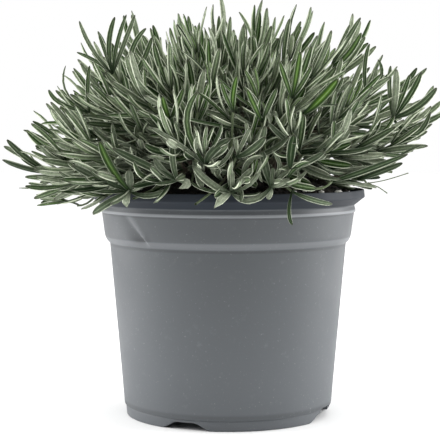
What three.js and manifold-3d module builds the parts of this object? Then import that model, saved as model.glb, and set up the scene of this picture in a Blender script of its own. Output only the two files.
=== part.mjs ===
// A young lavender plant in a plastic nursery pot, in millimetres, +Z up.
// The origin is the middle of the pot's base, on the surface that it stands on. -Y is the front.
// An azimuth is measured round the pot from the front towards +X.

import * as THREE from "three";
import { mergeVertices } from "three/addons/utils/BufferGeometryUtils.js";
import Module from "manifold-3d";

const wasm = await Module();
wasm.setup();

const { sin, cos, hypot, PI, min, max, abs } = Math;
const DEGREE = PI / 180;
const CLEARANCE = 0.3;

// Pot
const RIM_RADIUS = 95;
const EDGE_ROUNDING = 0.8;
const POT_HEIGHT = 156.6;
const WALL = 1.3;
const LIP_HEIGHT = 5.4;
const LIP_DRAFT = 0.6;
const NECK_RADIUS = 88;
const NECK_HEIGHT = 145.5;
const COLLAR_TOP_HEIGHT = 143.1;
const COLLAR_TOP_RADIUS = 87.8;
const COLLAR_FOOT_HEIGHT = 126.6;
const COLLAR_FOOT_RADIUS = 85.6;
const BODY_TOP_HEIGHT = 121.9;
const BODY_TOP_RADIUS = 82.1;
const STEP_ROUNDING = 2.2;
const BODY_FOOT_HEIGHT = 8.4;
const BODY_FOOT_RADIUS = 72.4;
const FOOT_BAND_HEIGHT = 7.2;
const FOOT_BAND_RADIUS = 71.3;
const FOOT_RADIUS = 70.8;
const FOOT_WIDTH = 2.6;
const FLOOR_UNDERSIDE = 5.6;
const FLOOR_TOP = 7;
const POT_SIDES = 36;

// Foot notches, drain slots and drain holes
const NOTCH_HEIGHT = 5;
const NARROW_NOTCH = { azimuths: [-24, 156], footSpan: 30, topSpan: 9.3 };
const WIDE_NOTCH = { azimuths: [74, 254], footSpan: 48, topSpan: 24.4 };
const NOTCH_INNER_RADIUS = 61;
const NOTCH_OUTER_RADIUS = 76;
const SLOT = { width: 15, height: 3.4, underside: 5.2, turn: -6, inner: 66, outer: 76 };
const DRAIN_HOLE = { radius: 6, ring: 44, count: 4, sides: 10 };

// The dent that a thumb left in the collar
const DENT = { azimuth: -52, span: 15, depth: 2.2, rollIn: 0.25 };

// Potting mix
const SOIL_TOP = 168;
const SOIL_EDGE = 151;
const SOIL_EDGE_RADIUS = 88.5;
const SOIL_HEAP_POWER = 3;
const SOIL_LUMP = 0.8;
const SOIL_RINGS = [0.92, 0.8, 0.66, 0.5, 0.33, 0.16, 0];
const SOIL_WALL_GAP = 0.4;

// Stems
const STEM_HOLE_DEPTH = 12;
const STEM_ROOT_HALF = 1.3;
const STEM_TIP_HALF = 0.9;
const STEM_STRAIGHT = 3;
const STEM_RISE_SHARE = 0.3;
const STEM_REACH_SHARE = 0.35;
const CROWN_RADIUS = 47;
const STEM_PIECES = 4;

// The dome that the leaf tips reach
const DOME_MIDDLE = 162;
const DOME_RADIUS = 149;
const DOME_RISE = 124;
const DOME_POWER = 2.5;
const DOME_LOWEST = 94 * DEGREE;
const TUFT_OVERHANG = 30;
const GOLDEN_TURN = PI * (3 - Math.sqrt(5));

// How much further up than the dome's own slope a tuft points: all of it above a low slope, none at the foot
const TUFT_RISE = { sides: 0.52, front: 1.15 };
const TUFT_RISE_SLOPE = { sides: 0.15, front: 0.45 };

// Nothing hangs lower than this, and past the lip's right side the leaves stand above a rising line
const LOWEST_POINT = 147;
const RIGHT_LIFT = { from: 90, height: 154, slope: 0.8 };

// Shoots that give the outline its shape: where the tip of each one's leaves reaches
const OUTLINE_SHOOTS = [
  [-151, -12, 189],
  [-134, -34, 166],
  [-112, -62, 161],
  [-138, 18, 207],
  [-130, -46, 200],
  [-120, -24, 224],
  [-106, 26, 240],
  [-96, -8, 262],
  [-71, 14, 277],
  [-52, -22, 268],
  [-30, 18, 280],
  [-7, -20, 284],
  [24, 16, 282],
  [50, -14, 280],
  [70, 20, 270],
  [95, 8, 273],
  [110, -22, 247],
  [134, 16, 240],
  [152, 38, 226],
  [135, -18, 209],
  [114, -34, 181],
];

// Shoots that come over the lip at the front
const FRONT_SHOOTS = [
  [2, -136, 172],
  [46, -128, 176],
  [-54, -124, 176],
];

// A bare patch of mix shows at the front right
const BARE_PATCH = { azimuth: 50, elevation: 4, span: 20 };

const LOW_SHOOT_SPACING = 15.5;
const HIGH_SHOOT_SPACING = 20;
const EVEN_SHOOTS = 86;
const SHOOT_COUNT = 50;

// Leaves
const LEAF_PAIRS = 5;
const UPRIGHT_LEAF_PAIRS = 4;
const UPRIGHT = 0.6;
const PAIR_SPACING = 12.5;
const TOP_PAIR_SETBACK = 2;
const LOWEST_LEAF_PLACE = 0.22;
const LOWEST_LEAF = { length: 45, spread: 48, width: 6.8 };
const TOP_LEAF = { length: 33, spread: 15, width: 5.4 };
const LEAF_THICKNESS = 1.3;
const LEAF_RINGS = [0, 0.6];
const LEAF_RING_WIDTHS = [0.25, 1];
const LEAF_SEAT = 0.4;
const LEAF_GAP = 0.5;
const LIP_GAP = 0.8;

// How leaves differ from each other: the least and most of each draw
const PLANT_SEED = 34;
const LENGTH_SHARE = [0.88, 1.1];
const SPREAD_SHARE = [0.8, 1.15];
const CURL = [-0.85, -0.25];
const CURL_PIVOT = 0.35;
const LIFT = [-1, 3];
const TURN = [-0.25, 0.25];
const REACH_SHARE = [0.88, 1];

// The balls that stand for a leaf's room, as shares of its half width at its root, belly and tip
const BLADE_SAMPLES = 12;
const ROOM_ROOT = 0.4;
const ROOM_BELLY_PLACE = 0.6;
const ROOM_TIP = 0.5;
const ROOM_TIP_PLACE = 0.85;
const STEM_SAMPLE_STEP = 3;

// Ways to lay a leaf that would touch another shoot: [share of its spread, turn round the stem]
const LEAF_TRIES = [
  [1, 0],
  [1, 24],
  [1, -24],
  [0.75, 0],
  [0.75, 30],
  [0.75, -30],
  [0.5, 0],
  [0.5, 36],
  [0.5, -36],
  [0.3, 0],
];

// Gives the same run of numbers from 0 to 1 each time.
function seededNumbers(seed) {
  let state = seed;
  return () => {
    state = (state * 1664525 + 1013904223) % 4294967296;
    return state / 4294967296;
  };
}

function vector(x, y, z) {
  return new THREE.Vector3(x, y, z);
}

// The point at a radius and height in the direction of an azimuth.
function atAzimuth(azimuth, radius, height) {
  return vector(radius * sin(azimuth), -radius * cos(azimuth), height);
}

function mix(from, to, share) {
  return from + (to - from) * share;
}

// A closed geometry as a solid that can be joined and cut.
function solidOf(geometry) {
  const bare = geometry.index ? geometry.toNonIndexed() : geometry.clone();
  bare.deleteAttribute("normal");
  bare.deleteAttribute("uv");
  const merged = mergeVertices(bare, 1e-3);
  return new wasm.Manifold(
    new wasm.Mesh({
      numProp: 3,
      vertProperties: new Float32Array(merged.attributes.position.array),
      triVerts: new Uint32Array(merged.index.array),
    }),
  );
}

// The largest body of a solid, with any loose scrap or sealed pocket left out.
function largestBody(solid) {
  return solid.decompose().reduce((a, b) => (b.volume() > a.volume() ? b : a));
}

function meshOf(name, solid, material) {
  const { vertProperties, triVerts, numProp } = solid.getMesh();
  const positions = new Float32Array((vertProperties.length / numProp) * 3);
  for (let i = 0; i < positions.length / 3; i++)
    positions.set(vertProperties.subarray(i * numProp, i * numProp + 3), i * 3);
  const geometry = new THREE.BufferGeometry();
  geometry.setAttribute("position", new THREE.BufferAttribute(positions, 3));
  geometry.setIndex(new THREE.BufferAttribute(new Uint32Array(triVerts), 1));
  geometry.computeVertexNormals();
  const mesh = new THREE.Mesh(geometry, material);
  mesh.name = name;
  return mesh;
}

// A closed skin over rings of points that run counterclockwise seen from the last ring.
// The first ring is capped flat. The last ends in a point, or flat where there is none.
function loft(rings, point) {
  const sides = rings[0].length;
  const points = rings.flat();
  const faces = [];
  for (let i = 1; i < sides - 1; i++) faces.push(0, i + 1, i);
  for (let r = 0; r < rings.length - 1; r++)
    for (let i = 0; i < sides; i++) {
      const low = r * sides + i;
      const lowNext = r * sides + ((i + 1) % sides);
      faces.push(low, lowNext, lowNext + sides, low, lowNext + sides, low + sides);
    }
  const last = (rings.length - 1) * sides;
  if (point) {
    points.push(point);
    for (let i = 0; i < sides; i++)
      faces.push(last + i, last + ((i + 1) % sides), points.length - 1);
  } else {
    for (let i = 1; i < sides - 1; i++) faces.push(last, last + i, last + i + 1);
  }
  const geometry = new THREE.BufferGeometry().setFromPoints(points);
  geometry.setIndex(faces);
  return geometry;
}

// A profile of [radius, height] points turned round the pot's axis.
function turned(profile) {
  const points = profile.map(([radius, height]) => new THREE.Vector2(radius, height));
  return new THREE.LatheGeometry(points, POT_SIDES).rotateX(PI / 2);
}

function moveEachPoint(geometry, move) {
  const place = geometry.attributes.position;
  for (let i = 0; i < place.count; i++) {
    const point = move(vector().fromBufferAttribute(place, i));
    place.setXYZ(i, point.x, point.y, point.z);
  }
  return geometry;
}

function azimuthOf(point) {
  return Math.atan2(point.x, -point.y);
}

// The pot's outside, from the foot up to the lip's top edge.
function potOutside() {
  const lipFoot = POT_HEIGHT - LIP_HEIGHT;
  return [
    [FOOT_RADIUS, 0],
    [FOOT_BAND_RADIUS, FOOT_BAND_HEIGHT],
    [BODY_FOOT_RADIUS, BODY_FOOT_HEIGHT],
    [BODY_TOP_RADIUS, BODY_TOP_HEIGHT],
    [BODY_TOP_RADIUS + STEP_ROUNDING, BODY_TOP_HEIGHT + STEP_ROUNDING],
    [COLLAR_FOOT_RADIUS, COLLAR_FOOT_HEIGHT],
    [COLLAR_TOP_RADIUS, COLLAR_TOP_HEIGHT],
    [NECK_RADIUS, NECK_HEIGHT],
    [RIM_RADIUS - 1.5 * EDGE_ROUNDING, lipFoot - EDGE_ROUNDING],
    [RIM_RADIUS, lipFoot],
    [RIM_RADIUS - LIP_DRAFT, POT_HEIGHT - EDGE_ROUNDING],
    [RIM_RADIUS - LIP_DRAFT - EDGE_ROUNDING, POT_HEIGHT],
  ];
}

// The pot's inside, one wall in from its outside, from the lip's top edge down to the floor.
function potInside() {
  const lipFoot = POT_HEIGHT - LIP_HEIGHT;
  return [
    [RIM_RADIUS - LIP_DRAFT - WALL, POT_HEIGHT],
    [RIM_RADIUS - LIP_DRAFT - WALL, lipFoot + WALL],
    [NECK_RADIUS - WALL, NECK_HEIGHT + WALL],
    [COLLAR_TOP_RADIUS - WALL, COLLAR_TOP_HEIGHT],
    [COLLAR_FOOT_RADIUS - WALL, COLLAR_FOOT_HEIGHT],
    [BODY_TOP_RADIUS - WALL, BODY_TOP_HEIGHT],
    [BODY_FOOT_RADIUS - WALL, BODY_FOOT_HEIGHT],
    [BODY_FOOT_RADIUS - 2 * WALL, FLOOR_TOP],
  ];
}

// How far the collar is pushed in at a point: most at its foot, none at its top.
function dentDepth(point) {
  const turn = abs(azimuthOf(point) / DEGREE - DENT.azimuth) / (DENT.span / 2);
  const rise = (point.z - BODY_TOP_HEIGHT) / (COLLAR_TOP_HEIGHT - BODY_TOP_HEIGHT);
  if (turn >= 1 || rise <= 0 || rise >= 1) return 0;
  return DENT.depth * cos((turn * PI) / 2) * min(1, rise / DENT.rollIn) * (1 - rise);
}

// A block that cuts the foot: an upright outline run out along a radius.
function footCutter(outline, azimuth, inner, outer) {
  const shape = new THREE.Shape(outline.map(([x, z]) => new THREE.Vector2(x, z)));
  const geometry = new THREE.ExtrudeGeometry(shape, { depth: outer - inner, bevelEnabled: false });
  geometry.translate(0, 0, inner).rotateX(PI / 2);
  return solidOf(geometry.rotateZ(azimuth * DEGREE));
}

function notchOutline({ footSpan, topSpan }) {
  const foot = FOOT_RADIUS * sin((footSpan / 2) * DEGREE);
  const top = FOOT_RADIUS * sin((topSpan / 2) * DEGREE);
  return [
    [-foot, -1],
    [foot, -1],
    [top, NOTCH_HEIGHT],
    [-top, NOTCH_HEIGHT],
  ];
}

function slotOutline() {
  const half = SLOT.width / 2;
  const top = SLOT.underside + SLOT.height;
  return [
    [-half, SLOT.underside - 1],
    [half, SLOT.underside - 1],
    [half, top],
    [-half, top],
  ];
}

function drainHoles() {
  const holes = [];
  for (let i = 0; i < DRAIN_HOLE.count; i++) {
    const turn = ((i + 0.5) / DRAIN_HOLE.count) * 2 * PI;
    const plug = new THREE.CylinderGeometry(
      DRAIN_HOLE.radius,
      DRAIN_HOLE.radius,
      2 * FLOOR_TOP,
      DRAIN_HOLE.sides,
    );
    const middle = atAzimuth(turn, DRAIN_HOLE.ring, FLOOR_TOP);
    holes.push(solidOf(plug.rotateX(PI / 2).translate(middle.x, middle.y, middle.z)));
  }
  return holes;
}

function potSolid() {
  const profile = [[0, FLOOR_UNDERSIDE]];
  profile.push([FOOT_RADIUS - FOOT_WIDTH, FLOOR_UNDERSIDE], [FOOT_RADIUS - FOOT_WIDTH, 0]);
  profile.push(...potOutside(), ...potInside(), [0, FLOOR_TOP]);
  const skin = moveEachPoint(turned(profile), (point) => {
    const radius = hypot(point.x, point.y);
    return atAzimuth(azimuthOf(point), radius - dentDepth(point), point.z);
  });
  let pot = solidOf(skin);
  for (const notch of [NARROW_NOTCH, WIDE_NOTCH])
    for (const azimuth of notch.azimuths)
      pot = pot.subtract(
        footCutter(notchOutline(notch), azimuth, NOTCH_INNER_RADIUS, NOTCH_OUTER_RADIUS),
      );
  for (const azimuth of WIDE_NOTCH.azimuths)
    pot = pot.subtract(footCutter(slotOutline(), azimuth + SLOT.turn, SLOT.inner, SLOT.outer));
  for (const hole of drainHoles()) pot = pot.subtract(hole);
  return largestBody(pot);
}

// The heap of the mix, without its lumps.
function soilHeight(radius) {
  const fall = (min(radius, SOIL_EDGE_RADIUS) / SOIL_EDGE_RADIUS) ** SOIL_HEAP_POWER;
  return mix(SOIL_TOP, SOIL_EDGE, fall);
}

function soilLump(x, y) {
  return SOIL_LUMP * (sin(x * 0.31) * cos(y * 0.27) + sin(x * 0.13 + y * 0.41));
}

// The mix fills the pot, follows its wall and is heaped to the middle.
function soilSolid(stems) {
  const bottom = FLOOR_TOP + CLEARANCE;
  const profile = [[0, bottom]];
  for (const [radius, height] of potInside().reverse()) {
    if (height > NECK_HEIGHT) continue;
    const insideDent = height > BODY_TOP_HEIGHT ? DENT.depth : 0;
    profile.push([radius - SOIL_WALL_GAP - insideDent, max(height, bottom)]);
  }
  profile.push([SOIL_EDGE_RADIUS, SOIL_EDGE]);
  for (const share of SOIL_RINGS) {
    const radius = share * SOIL_EDGE_RADIUS;
    profile.push([radius, soilHeight(radius)]);
  }
  const skin = moveEachPoint(turned(profile), (point) => {
    const onHeap = point.z > SOIL_EDGE + SOIL_LUMP;
    return vector(point.x, point.y, point.z + (onHeap ? soilLump(point.x, point.y) : 0));
  });
  let soil = solidOf(skin);
  for (const stem of stems) {
    const side = 2 * (STEM_ROOT_HALF + CLEARANCE);
    const hole = new THREE.BoxGeometry(side, side, 2 * STEM_HOLE_DEPTH);
    hole.rotateZ(stem.azimuth).translate(stem.root.x, stem.root.y, stem.root.z);
    soil = soil.subtract(solidOf(hole));
  }
  return largestBody(soil);
}

// The distance from the dome's middle to its skin, at a polar angle from straight up.
function domeReach(polar) {
  const rise = abs(cos(polar) / DOME_RISE) ** DOME_POWER;
  const run = abs(sin(polar) / DOME_RADIUS) ** DOME_POWER;
  return (rise + run) ** (-1 / DOME_POWER);
}

// The height that leaves stand above past the lip's right side.
function rightLine(x) {
  return RIGHT_LIFT.height + (x - RIGHT_LIFT.from) * RIGHT_LIFT.slope;
}

function isUnderRightLine(point) {
  return point.x > RIGHT_LIFT.from && point.z < rightLine(point.x);
}

// Where the leaf tips of every shoot reach: the listed ones, then an even spiral over the dome.
function shootReaches(random) {
  const middle = vector(0, 0, DOME_MIDDLE);
  const reaches = [...OUTLINE_SHOOTS, ...FRONT_SHOOTS].map((place) => vector(...place));
  const patch = atAzimuth(BARE_PATCH.azimuth * DEGREE, cos(BARE_PATCH.elevation * DEGREE), 0);
  patch.z = sin(BARE_PATCH.elevation * DEGREE);
  for (let i = 0; i < EVEN_SHOOTS && reaches.length < SHOOT_COUNT; i++) {
    const upright = mix(1, cos(DOME_LOWEST), (i + 0.5) / EVEN_SHOOTS);
    const polar = Math.acos(upright);
    const direction = atAzimuth(i * GOLDEN_TURN, sin(polar), cos(polar));
    const reach = domeReach(polar) * mix(...REACH_SHARE, random());
    const spacing = mix(LOW_SHOOT_SPACING, HIGH_SHOOT_SPACING, max(0, upright)) * DEGREE;
    const crowded = reaches.some(
      (other) => other.clone().sub(middle).angleTo(direction) < spacing,
    );
    if (crowded || patch.angleTo(direction) < BARE_PATCH.span * DEGREE) continue;
    const tip = direction.multiplyScalar(reach).add(middle);
    if (!isUnderRightLine(tip)) reaches.push(tip);
  }
  return reaches;
}

// The way that a tuft points: the dome's slope, turned up, at the front and back more than at the sides.
function risen(slope) {
  const level = hypot(slope.x, slope.y);
  const facing = level > 0 ? abs(slope.y) / level : 0;
  const most = mix(TUFT_RISE.sides, TUFT_RISE.front, facing);
  const full = mix(TUFT_RISE_SLOPE.sides, TUFT_RISE_SLOPE.front, facing);
  const rise = most * min(1, max(0, slope.z / full));
  return slope.clone().setZ(slope.z + rise).normalize();
}

// A stem that stands upright in the mix and bends over to the way that its leaves point.
function stemOf(reach) {
  const slope = reach.clone().sub(vector(0, 0, DOME_MIDDLE)).normalize();
  const azimuth = azimuthOf(slope);
  const direction = risen(slope);
  const share = max(0, 1 - slope.z) / (1 - cos(DOME_LOWEST));
  const radius = CROWN_RADIUS * min(1, Math.sqrt(share));
  const root = atAzimuth(azimuth, radius, soilHeight(radius));
  const start = root.clone().setZ(root.z + STEM_STRAIGHT);
  const apex = reach.clone().addScaledVector(direction, -TUFT_OVERHANG);
  const span = start.distanceTo(apex);
  const curve = new THREE.CubicBezierCurve3(
    start,
    start.clone().setZ(start.z + span * STEM_RISE_SHARE),
    apex.clone().addScaledVector(direction, -span * STEM_REACH_SHARE),
    apex,
  );
  return { azimuth, root, curve, length: curve.getLength(), upright: slope.z > UPRIGHT };
}

// The direction round the pot, level and square to a stem's own upright plane.
function levelSide(stem) {
  return vector(cos(stem.azimuth), sin(stem.azimuth), 0);
}

function squareRing(middle, forward, side, half) {
  const across = forward.clone().cross(side).normalize();
  return [
    [-1, -1],
    [1, -1],
    [1, 1],
    [-1, 1],
  ].map(([a, b]) => {
    const corner = middle.clone().addScaledVector(side, a * half);
    return corner.addScaledVector(across, b * half);
  });
}

function stemSolid(stem) {
  const side = levelSide(stem);
  const up = vector(0, 0, 1);
  const foot = stem.root.clone().setZ(stem.root.z - STEM_HOLE_DEPTH + CLEARANCE);
  const rings = [squareRing(foot, up, side, STEM_ROOT_HALF)];
  for (let i = 0; i <= STEM_PIECES; i++) {
    const t = i / STEM_PIECES;
    const half = mix(STEM_ROOT_HALF, STEM_TIP_HALF, t);
    rings.push(squareRing(stem.curve.getPoint(t), stem.curve.getTangent(t), side, half));
  }
  return solidOf(loft(rings));
}

// A point of a leaf's middle line, a share s of its length out from the stem, and its face there.
function leafPlace(leaf, s) {
  const first = leaf.spread - leaf.curl * CURL_PIVOT;
  const angle = first + leaf.curl * s;
  const along = (leaf.length * (sin(angle) - sin(first))) / leaf.curl;
  const out = (leaf.length * (cos(first) - cos(angle))) / leaf.curl;
  const point = leaf.root.clone().addScaledVector(leaf.forward, along);
  point.addScaledVector(leaf.outward, out + LEAF_SEAT);
  point.z += leaf.lift * s * s;
  const face = leaf.forward.clone().multiplyScalar(sin(angle));
  face.addScaledVector(leaf.outward, -cos(angle));
  return { point, face };
}

// A blade with two margins and a keel under its midrib.
function leafSolid(leaf) {
  const side = leaf.forward.clone().cross(leaf.outward);
  const rings = LEAF_RINGS.map((s, i) => {
    const { point, face } = leafPlace(leaf, s);
    const half = (leaf.width / 2) * LEAF_RING_WIDTHS[i];
    return [
      point.clone().addScaledVector(side, half),
      point.clone().addScaledVector(side, -half),
      point.clone().addScaledVector(face, -LEAF_THICKNESS),
    ];
  });
  return solidOf(loft(rings, leafPlace(leaf, 1).point));
}

// Balls along a leaf that stand for its room, from clear of the stem to its tip.
function leafRoom(leaf, owner) {
  const balls = [];
  for (let i = 1; i <= BLADE_SAMPLES; i++) {
    const s = i / BLADE_SAMPLES;
    const { point, face } = leafPlace(leaf, s);
    const belly = mix(ROOM_ROOT, 1, min(1, s / ROOM_BELLY_PLACE));
    const width = s > ROOM_TIP_PLACE ? ROOM_TIP : belly;
    point.addScaledVector(face, -LEAF_THICKNESS / 2);
    balls.push({ point, radius: (leaf.width / 2) * width, owner });
  }
  return balls;
}

function stemRoom(stem, owner) {
  const balls = [];
  const count = Math.ceil(stem.length / STEM_SAMPLE_STEP);
  for (let i = 0; i <= count; i++)
    balls.push({ point: stem.curve.getPoint(i / count), radius: STEM_ROOT_HALF, owner });
  return balls;
}

function clearOfPot({ point, radius }) {
  const out = hypot(point.x, point.y);
  if (out < SOIL_EDGE_RADIUS && point.z < soilHeight(out) + 2 * SOIL_LUMP + radius) return false;
  if (out > RIM_RADIUS + radius && point.z < LOWEST_POINT) return false;
  if (isUnderRightLine(point)) return false;
  const room = radius + LIP_GAP;
  const overLip = out > SOIL_EDGE_RADIUS - room && out < RIM_RADIUS + room;
  return !(overLip && point.z < POT_HEIGHT + room);
}

function isClear(balls, taken) {
  return balls.every(
    (ball) =>
      clearOfPot(ball) &&
      taken.every(
        (other) =>
          other.owner === ball.owner ||
          other.point.distanceToSquared(ball.point) > (other.radius + ball.radius + LEAF_GAP) ** 2,
      ),
  );
}

// One leaf of a pair. The pairs are numbered down from the tip, and each stands across the last.
function leafOf(stem, pair, sideSign, phase, random) {
  const share = pair / (LEAF_PAIRS - 1);
  const back = TOP_PAIR_SETBACK + PAIR_SPACING * pair;
  const t = max(LOWEST_LEAF_PLACE, 1 - back / stem.length);
  const forward = stem.curve.getTangentAt(t);
  const side = levelSide(stem);
  const across = side.clone().cross(forward);
  const quarter = (pair % 2) * (PI / 2);
  const opposite = sideSign > 0 ? 0 : PI;
  return {
    root: stem.curve.getPointAt(t),
    forward,
    side,
    across,
    turn: phase + quarter + opposite + mix(...TURN, random()),
    length: mix(TOP_LEAF.length, LOWEST_LEAF.length, share) * mix(...LENGTH_SHARE, random()),
    width: mix(TOP_LEAF.width, LOWEST_LEAF.width, share),
    spread: mix(TOP_LEAF.spread, LOWEST_LEAF.spread, share) * DEGREE * mix(...SPREAD_SHARE, random()),
    curl: mix(...CURL, random()),
    lift: mix(...LIFT, random()),
  };
}

// The same leaf, brought in towards its stem and turned round it.
function laid(leaf, [spreadShare, turnDegrees]) {
  const turn = leaf.turn + turnDegrees * DEGREE;
  const outward = leaf.side.clone().multiplyScalar(cos(turn));
  outward.addScaledVector(leaf.across, sin(turn));
  return { ...leaf, outward, spread: leaf.spread * spreadShare };
}

// Every leaf of every stem, the outermost pairs first, each laid clear of the other shoots.
function leavesOf(stems, random) {
  const taken = stems.flatMap((stem, owner) => stemRoom(stem, owner));
  const phases = stems.map(() => random() * PI);
  const leaves = stems.map(() => []);
  for (let pair = 0; pair < LEAF_PAIRS; pair++)
    stems.forEach((stem, owner) => {
      if (pair >= UPRIGHT_LEAF_PAIRS && stem.upright) return;
      for (const sideSign of [1, -1]) {
        const wanted = leafOf(stem, pair, sideSign, phases[owner], random);
        const tries = LEAF_TRIES.map((way) => laid(wanted, way));
        const leaf = tries.find((one) => isClear(leafRoom(one, owner), taken));
        if (!leaf) continue;
        leaves[owner].push(leaf);
        taken.push(...leafRoom(leaf, owner));
      }
    });
  return leaves;
}

const potPlastic = new THREE.MeshStandardMaterial({ color: 0x6b7378, roughness: 0.55 });
const pottingMix = new THREE.MeshStandardMaterial({ color: 0x1d1a17, roughness: 1 });

function leafMaterial(shade) {
  const color = new THREE.Color(0x5b6e52).lerp(new THREE.Color(0x8b9a86), shade);
  return new THREE.MeshStandardMaterial({ color, roughness: 0.85 });
}

const random = seededNumbers(PLANT_SEED);
const stems = shootReaches(random).map(stemOf);
const leaves = leavesOf(stems, random);

const pottedLavender = new THREE.Group();
pottedLavender.add(meshOf("pot", potSolid(), potPlastic));
pottedLavender.add(meshOf("potting_soil", soilSolid(stems), pottingMix));
stems.forEach((stem, i) => {
  let shoot = stemSolid(stem);
  for (const leaf of leaves[i]) shoot = shoot.add(leafSolid(leaf));
  const name = "leafy_stem_" + String(i + 1).padStart(2, "0");
  pottedLavender.add(meshOf(name, largestBody(shoot), leafMaterial(random())));
});

export default pottedLavender;
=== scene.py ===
import math

import bmesh
import bpy
import numpy as np
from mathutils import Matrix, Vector, noise


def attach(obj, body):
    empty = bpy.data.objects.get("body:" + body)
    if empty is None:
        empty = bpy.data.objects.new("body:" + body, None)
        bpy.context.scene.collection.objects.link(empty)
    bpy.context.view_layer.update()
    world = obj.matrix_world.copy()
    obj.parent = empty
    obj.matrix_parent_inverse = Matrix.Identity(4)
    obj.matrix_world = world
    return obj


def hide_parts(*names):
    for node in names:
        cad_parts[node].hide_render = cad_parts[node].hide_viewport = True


# The looks of a young lavender plant in a plastic nursery pot.
# Lengths are in millimetres, in the frame of the part: +Z up, -Y the front.
# An azimuth is measured round the pot from the front towards +X. A share runs from 0 to 1.

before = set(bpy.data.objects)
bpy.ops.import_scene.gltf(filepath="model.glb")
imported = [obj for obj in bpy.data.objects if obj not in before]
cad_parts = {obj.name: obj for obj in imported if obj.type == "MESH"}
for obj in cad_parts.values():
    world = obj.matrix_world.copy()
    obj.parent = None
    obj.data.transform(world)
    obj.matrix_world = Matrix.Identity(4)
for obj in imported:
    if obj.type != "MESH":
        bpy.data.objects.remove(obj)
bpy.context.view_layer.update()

MM = 0.001
DEGREE = math.pi / 180
GOLDEN_TURN = math.pi * (3 - math.sqrt(5))

# The generator behind the random draws
DRAW_FACTOR = 1664525
DRAW_STEP = 1013904223
DRAW_RANGE = 4294967296

# The pot. Its collar and step stand 1.4 to 1.7 mm lower than in the part, where the photograph shows them.
RIM_RADIUS = 95
EDGE_ROUNDING = 0.8
POT_HEIGHT = 156.6
WALL = 1.3
LIP_HEIGHT = 5.4
LIP_DRAFT = 0.6
NECK_RADIUS = 88
NECK_HEIGHT = 145.5
COLLAR_TOP_HEIGHT = 141.4
COLLAR_TOP_RADIUS = 87.8
COLLAR_FOOT_HEIGHT = 125.2
COLLAR_FOOT_RADIUS = 85.6
BODY_TOP_HEIGHT = 120.3
BODY_TOP_RADIUS = 82.1
STEP_ROUNDING = 2.2
BODY_FOOT_HEIGHT = 8.4
BODY_FOOT_RADIUS = 72.4
FOOT_BAND_HEIGHT = 7.2
FOOT_BAND_RADIUS = 71.3
FOOT_RADIUS = 70.8
FOOT_WIDTH = 2.6
FLOOR_UNDERSIDE = 5.6
FLOOR_TOP = 7
BEAD_PROUD = 0.7
BEAD_WIDTH = 1.3

# How finely the pot is divided
POT_SIDES = 360
POT_RING_STEP = 3.4
POT_SHARP_ANGLE = 40 * DEGREE
ROUNDING_STEPS = 4
MOST_ROUNDED = 0.45
WELD = 0.001

# Foot notches, drain slots and drain holes
NOTCH_HEIGHT = 5
NARROW_NOTCH = {"azimuths": (-24, 156), "foot_span": 30, "top_span": 9.3}
WIDE_NOTCH = {"azimuths": (74, 254), "foot_span": 48, "top_span": 24.4}
SLOT = {"width": 15, "foot": 4.2, "top": 8.6, "turn": -6, "inner": 66, "outer": 76}
DRAIN_HOLE = {"radius": 6, "ring": 44, "count": 4, "sides": 48}

# The dent in the collar: how deep it is, the share of the rise over which it sets in, where its crease runs
# from step to bead, over how many degrees it falls and comes back, and the ridge beside it
DENT = {
    "depth": 3.6,
    "roll_in": 0.22,
    "crease": (-36.7, -48.5),
    "steep": (1.3, 3.6),
    "span": (10, 20),
    "ridge": 0.25,
    "ridge_place": 0.9,
    "ridge_half": 1.1,
}

# Potting mix
SOIL_TOP = 168
SOIL_EDGE = 151
SOIL_EDGE_RADIUS = 88.5
SOIL_HEAP_POWER = 3
SOIL_HEAP_RINGS = 70
SOIL_LUMP = 0.8
SOIL_LUMP_WAVES = (0.31, 0.27, 0.13, 0.41)
SOIL_WALL_GAP = 0.4

# Roughness of the mix: the size of its lumps, where the noise is read, and their height
SOIL_ROUGH = [(5.0, 0.0, 1.0), (2.0, 7.3, 0.7)]

# Grains on the mix: how many, how big and how rough, how far over the mix each one's middle stands as a
# share of its half height, and the places and sizes of those that the photograph shows
GRAIN_SEED = 5
GRAIN_STRETCH = ((0.7, 1.25), (0.7, 1.25), (0.55, 0.9))
GRAIN_REACH = 0.97
CRUMBS = {"count": 800, "sizes": (0.7, 3.0), "roughness": 0.3, "lift": 0.2, "places": []}
PERLITE = {"count": 130, "sizes": (0.8, 2.2), "roughness": 0.15, "lift": 0.35}
PERLITE["places"] = [
    (74, -36, 3.0), (64, -30, 1.8), (58, -62, 2.0), (66, -52, 2.4), (50, -58, 1.6),
    (76, -44, 1.8), (44, -68, 1.6), (62, -40, 2.6), (48, -36, 2.2), (70, -60, 1.4),
]

# Stems
STEM_HOLE_DEPTH = 12
STEM_HALVES = (1.3, 0.9)
STEM_STRAIGHT = 3
STEM_RISE_SHARE = 0.3
STEM_REACH_SHARE = 0.35
STEM_RING_STEP = 4
STEM_CORNERS = 8
STEM_LEAST_RINGS = 6
STEM_NODE_SWELL = 0.18
STEM_NODE_POWER = 6
CROWN_RADIUS = 47

# The dome that the leaf tips reach
DOME_MIDDLE = np.array([0, 0, 162])
DOME_RADIUS = 149
DOME_RISE = 124
DOME_POWER = 2.5
DOME_LOWEST = 94 * DEGREE
TUFT_OVERHANG = 30

# How much further up than the dome's own slope a tuft points, at the sides and at the front:
# all of it above a low slope, none at the foot
TUFT_RISE = (0.52, 1.15)
TUFT_RISE_SLOPE = (0.15, 0.45)

# Nothing hangs lower than this, and past the lip's right side the leaves stand above a rising line
LOWEST_POINT = 147
RIGHT_LIFT = {"from": 90, "height": 154, "slope": 0.8}

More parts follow.
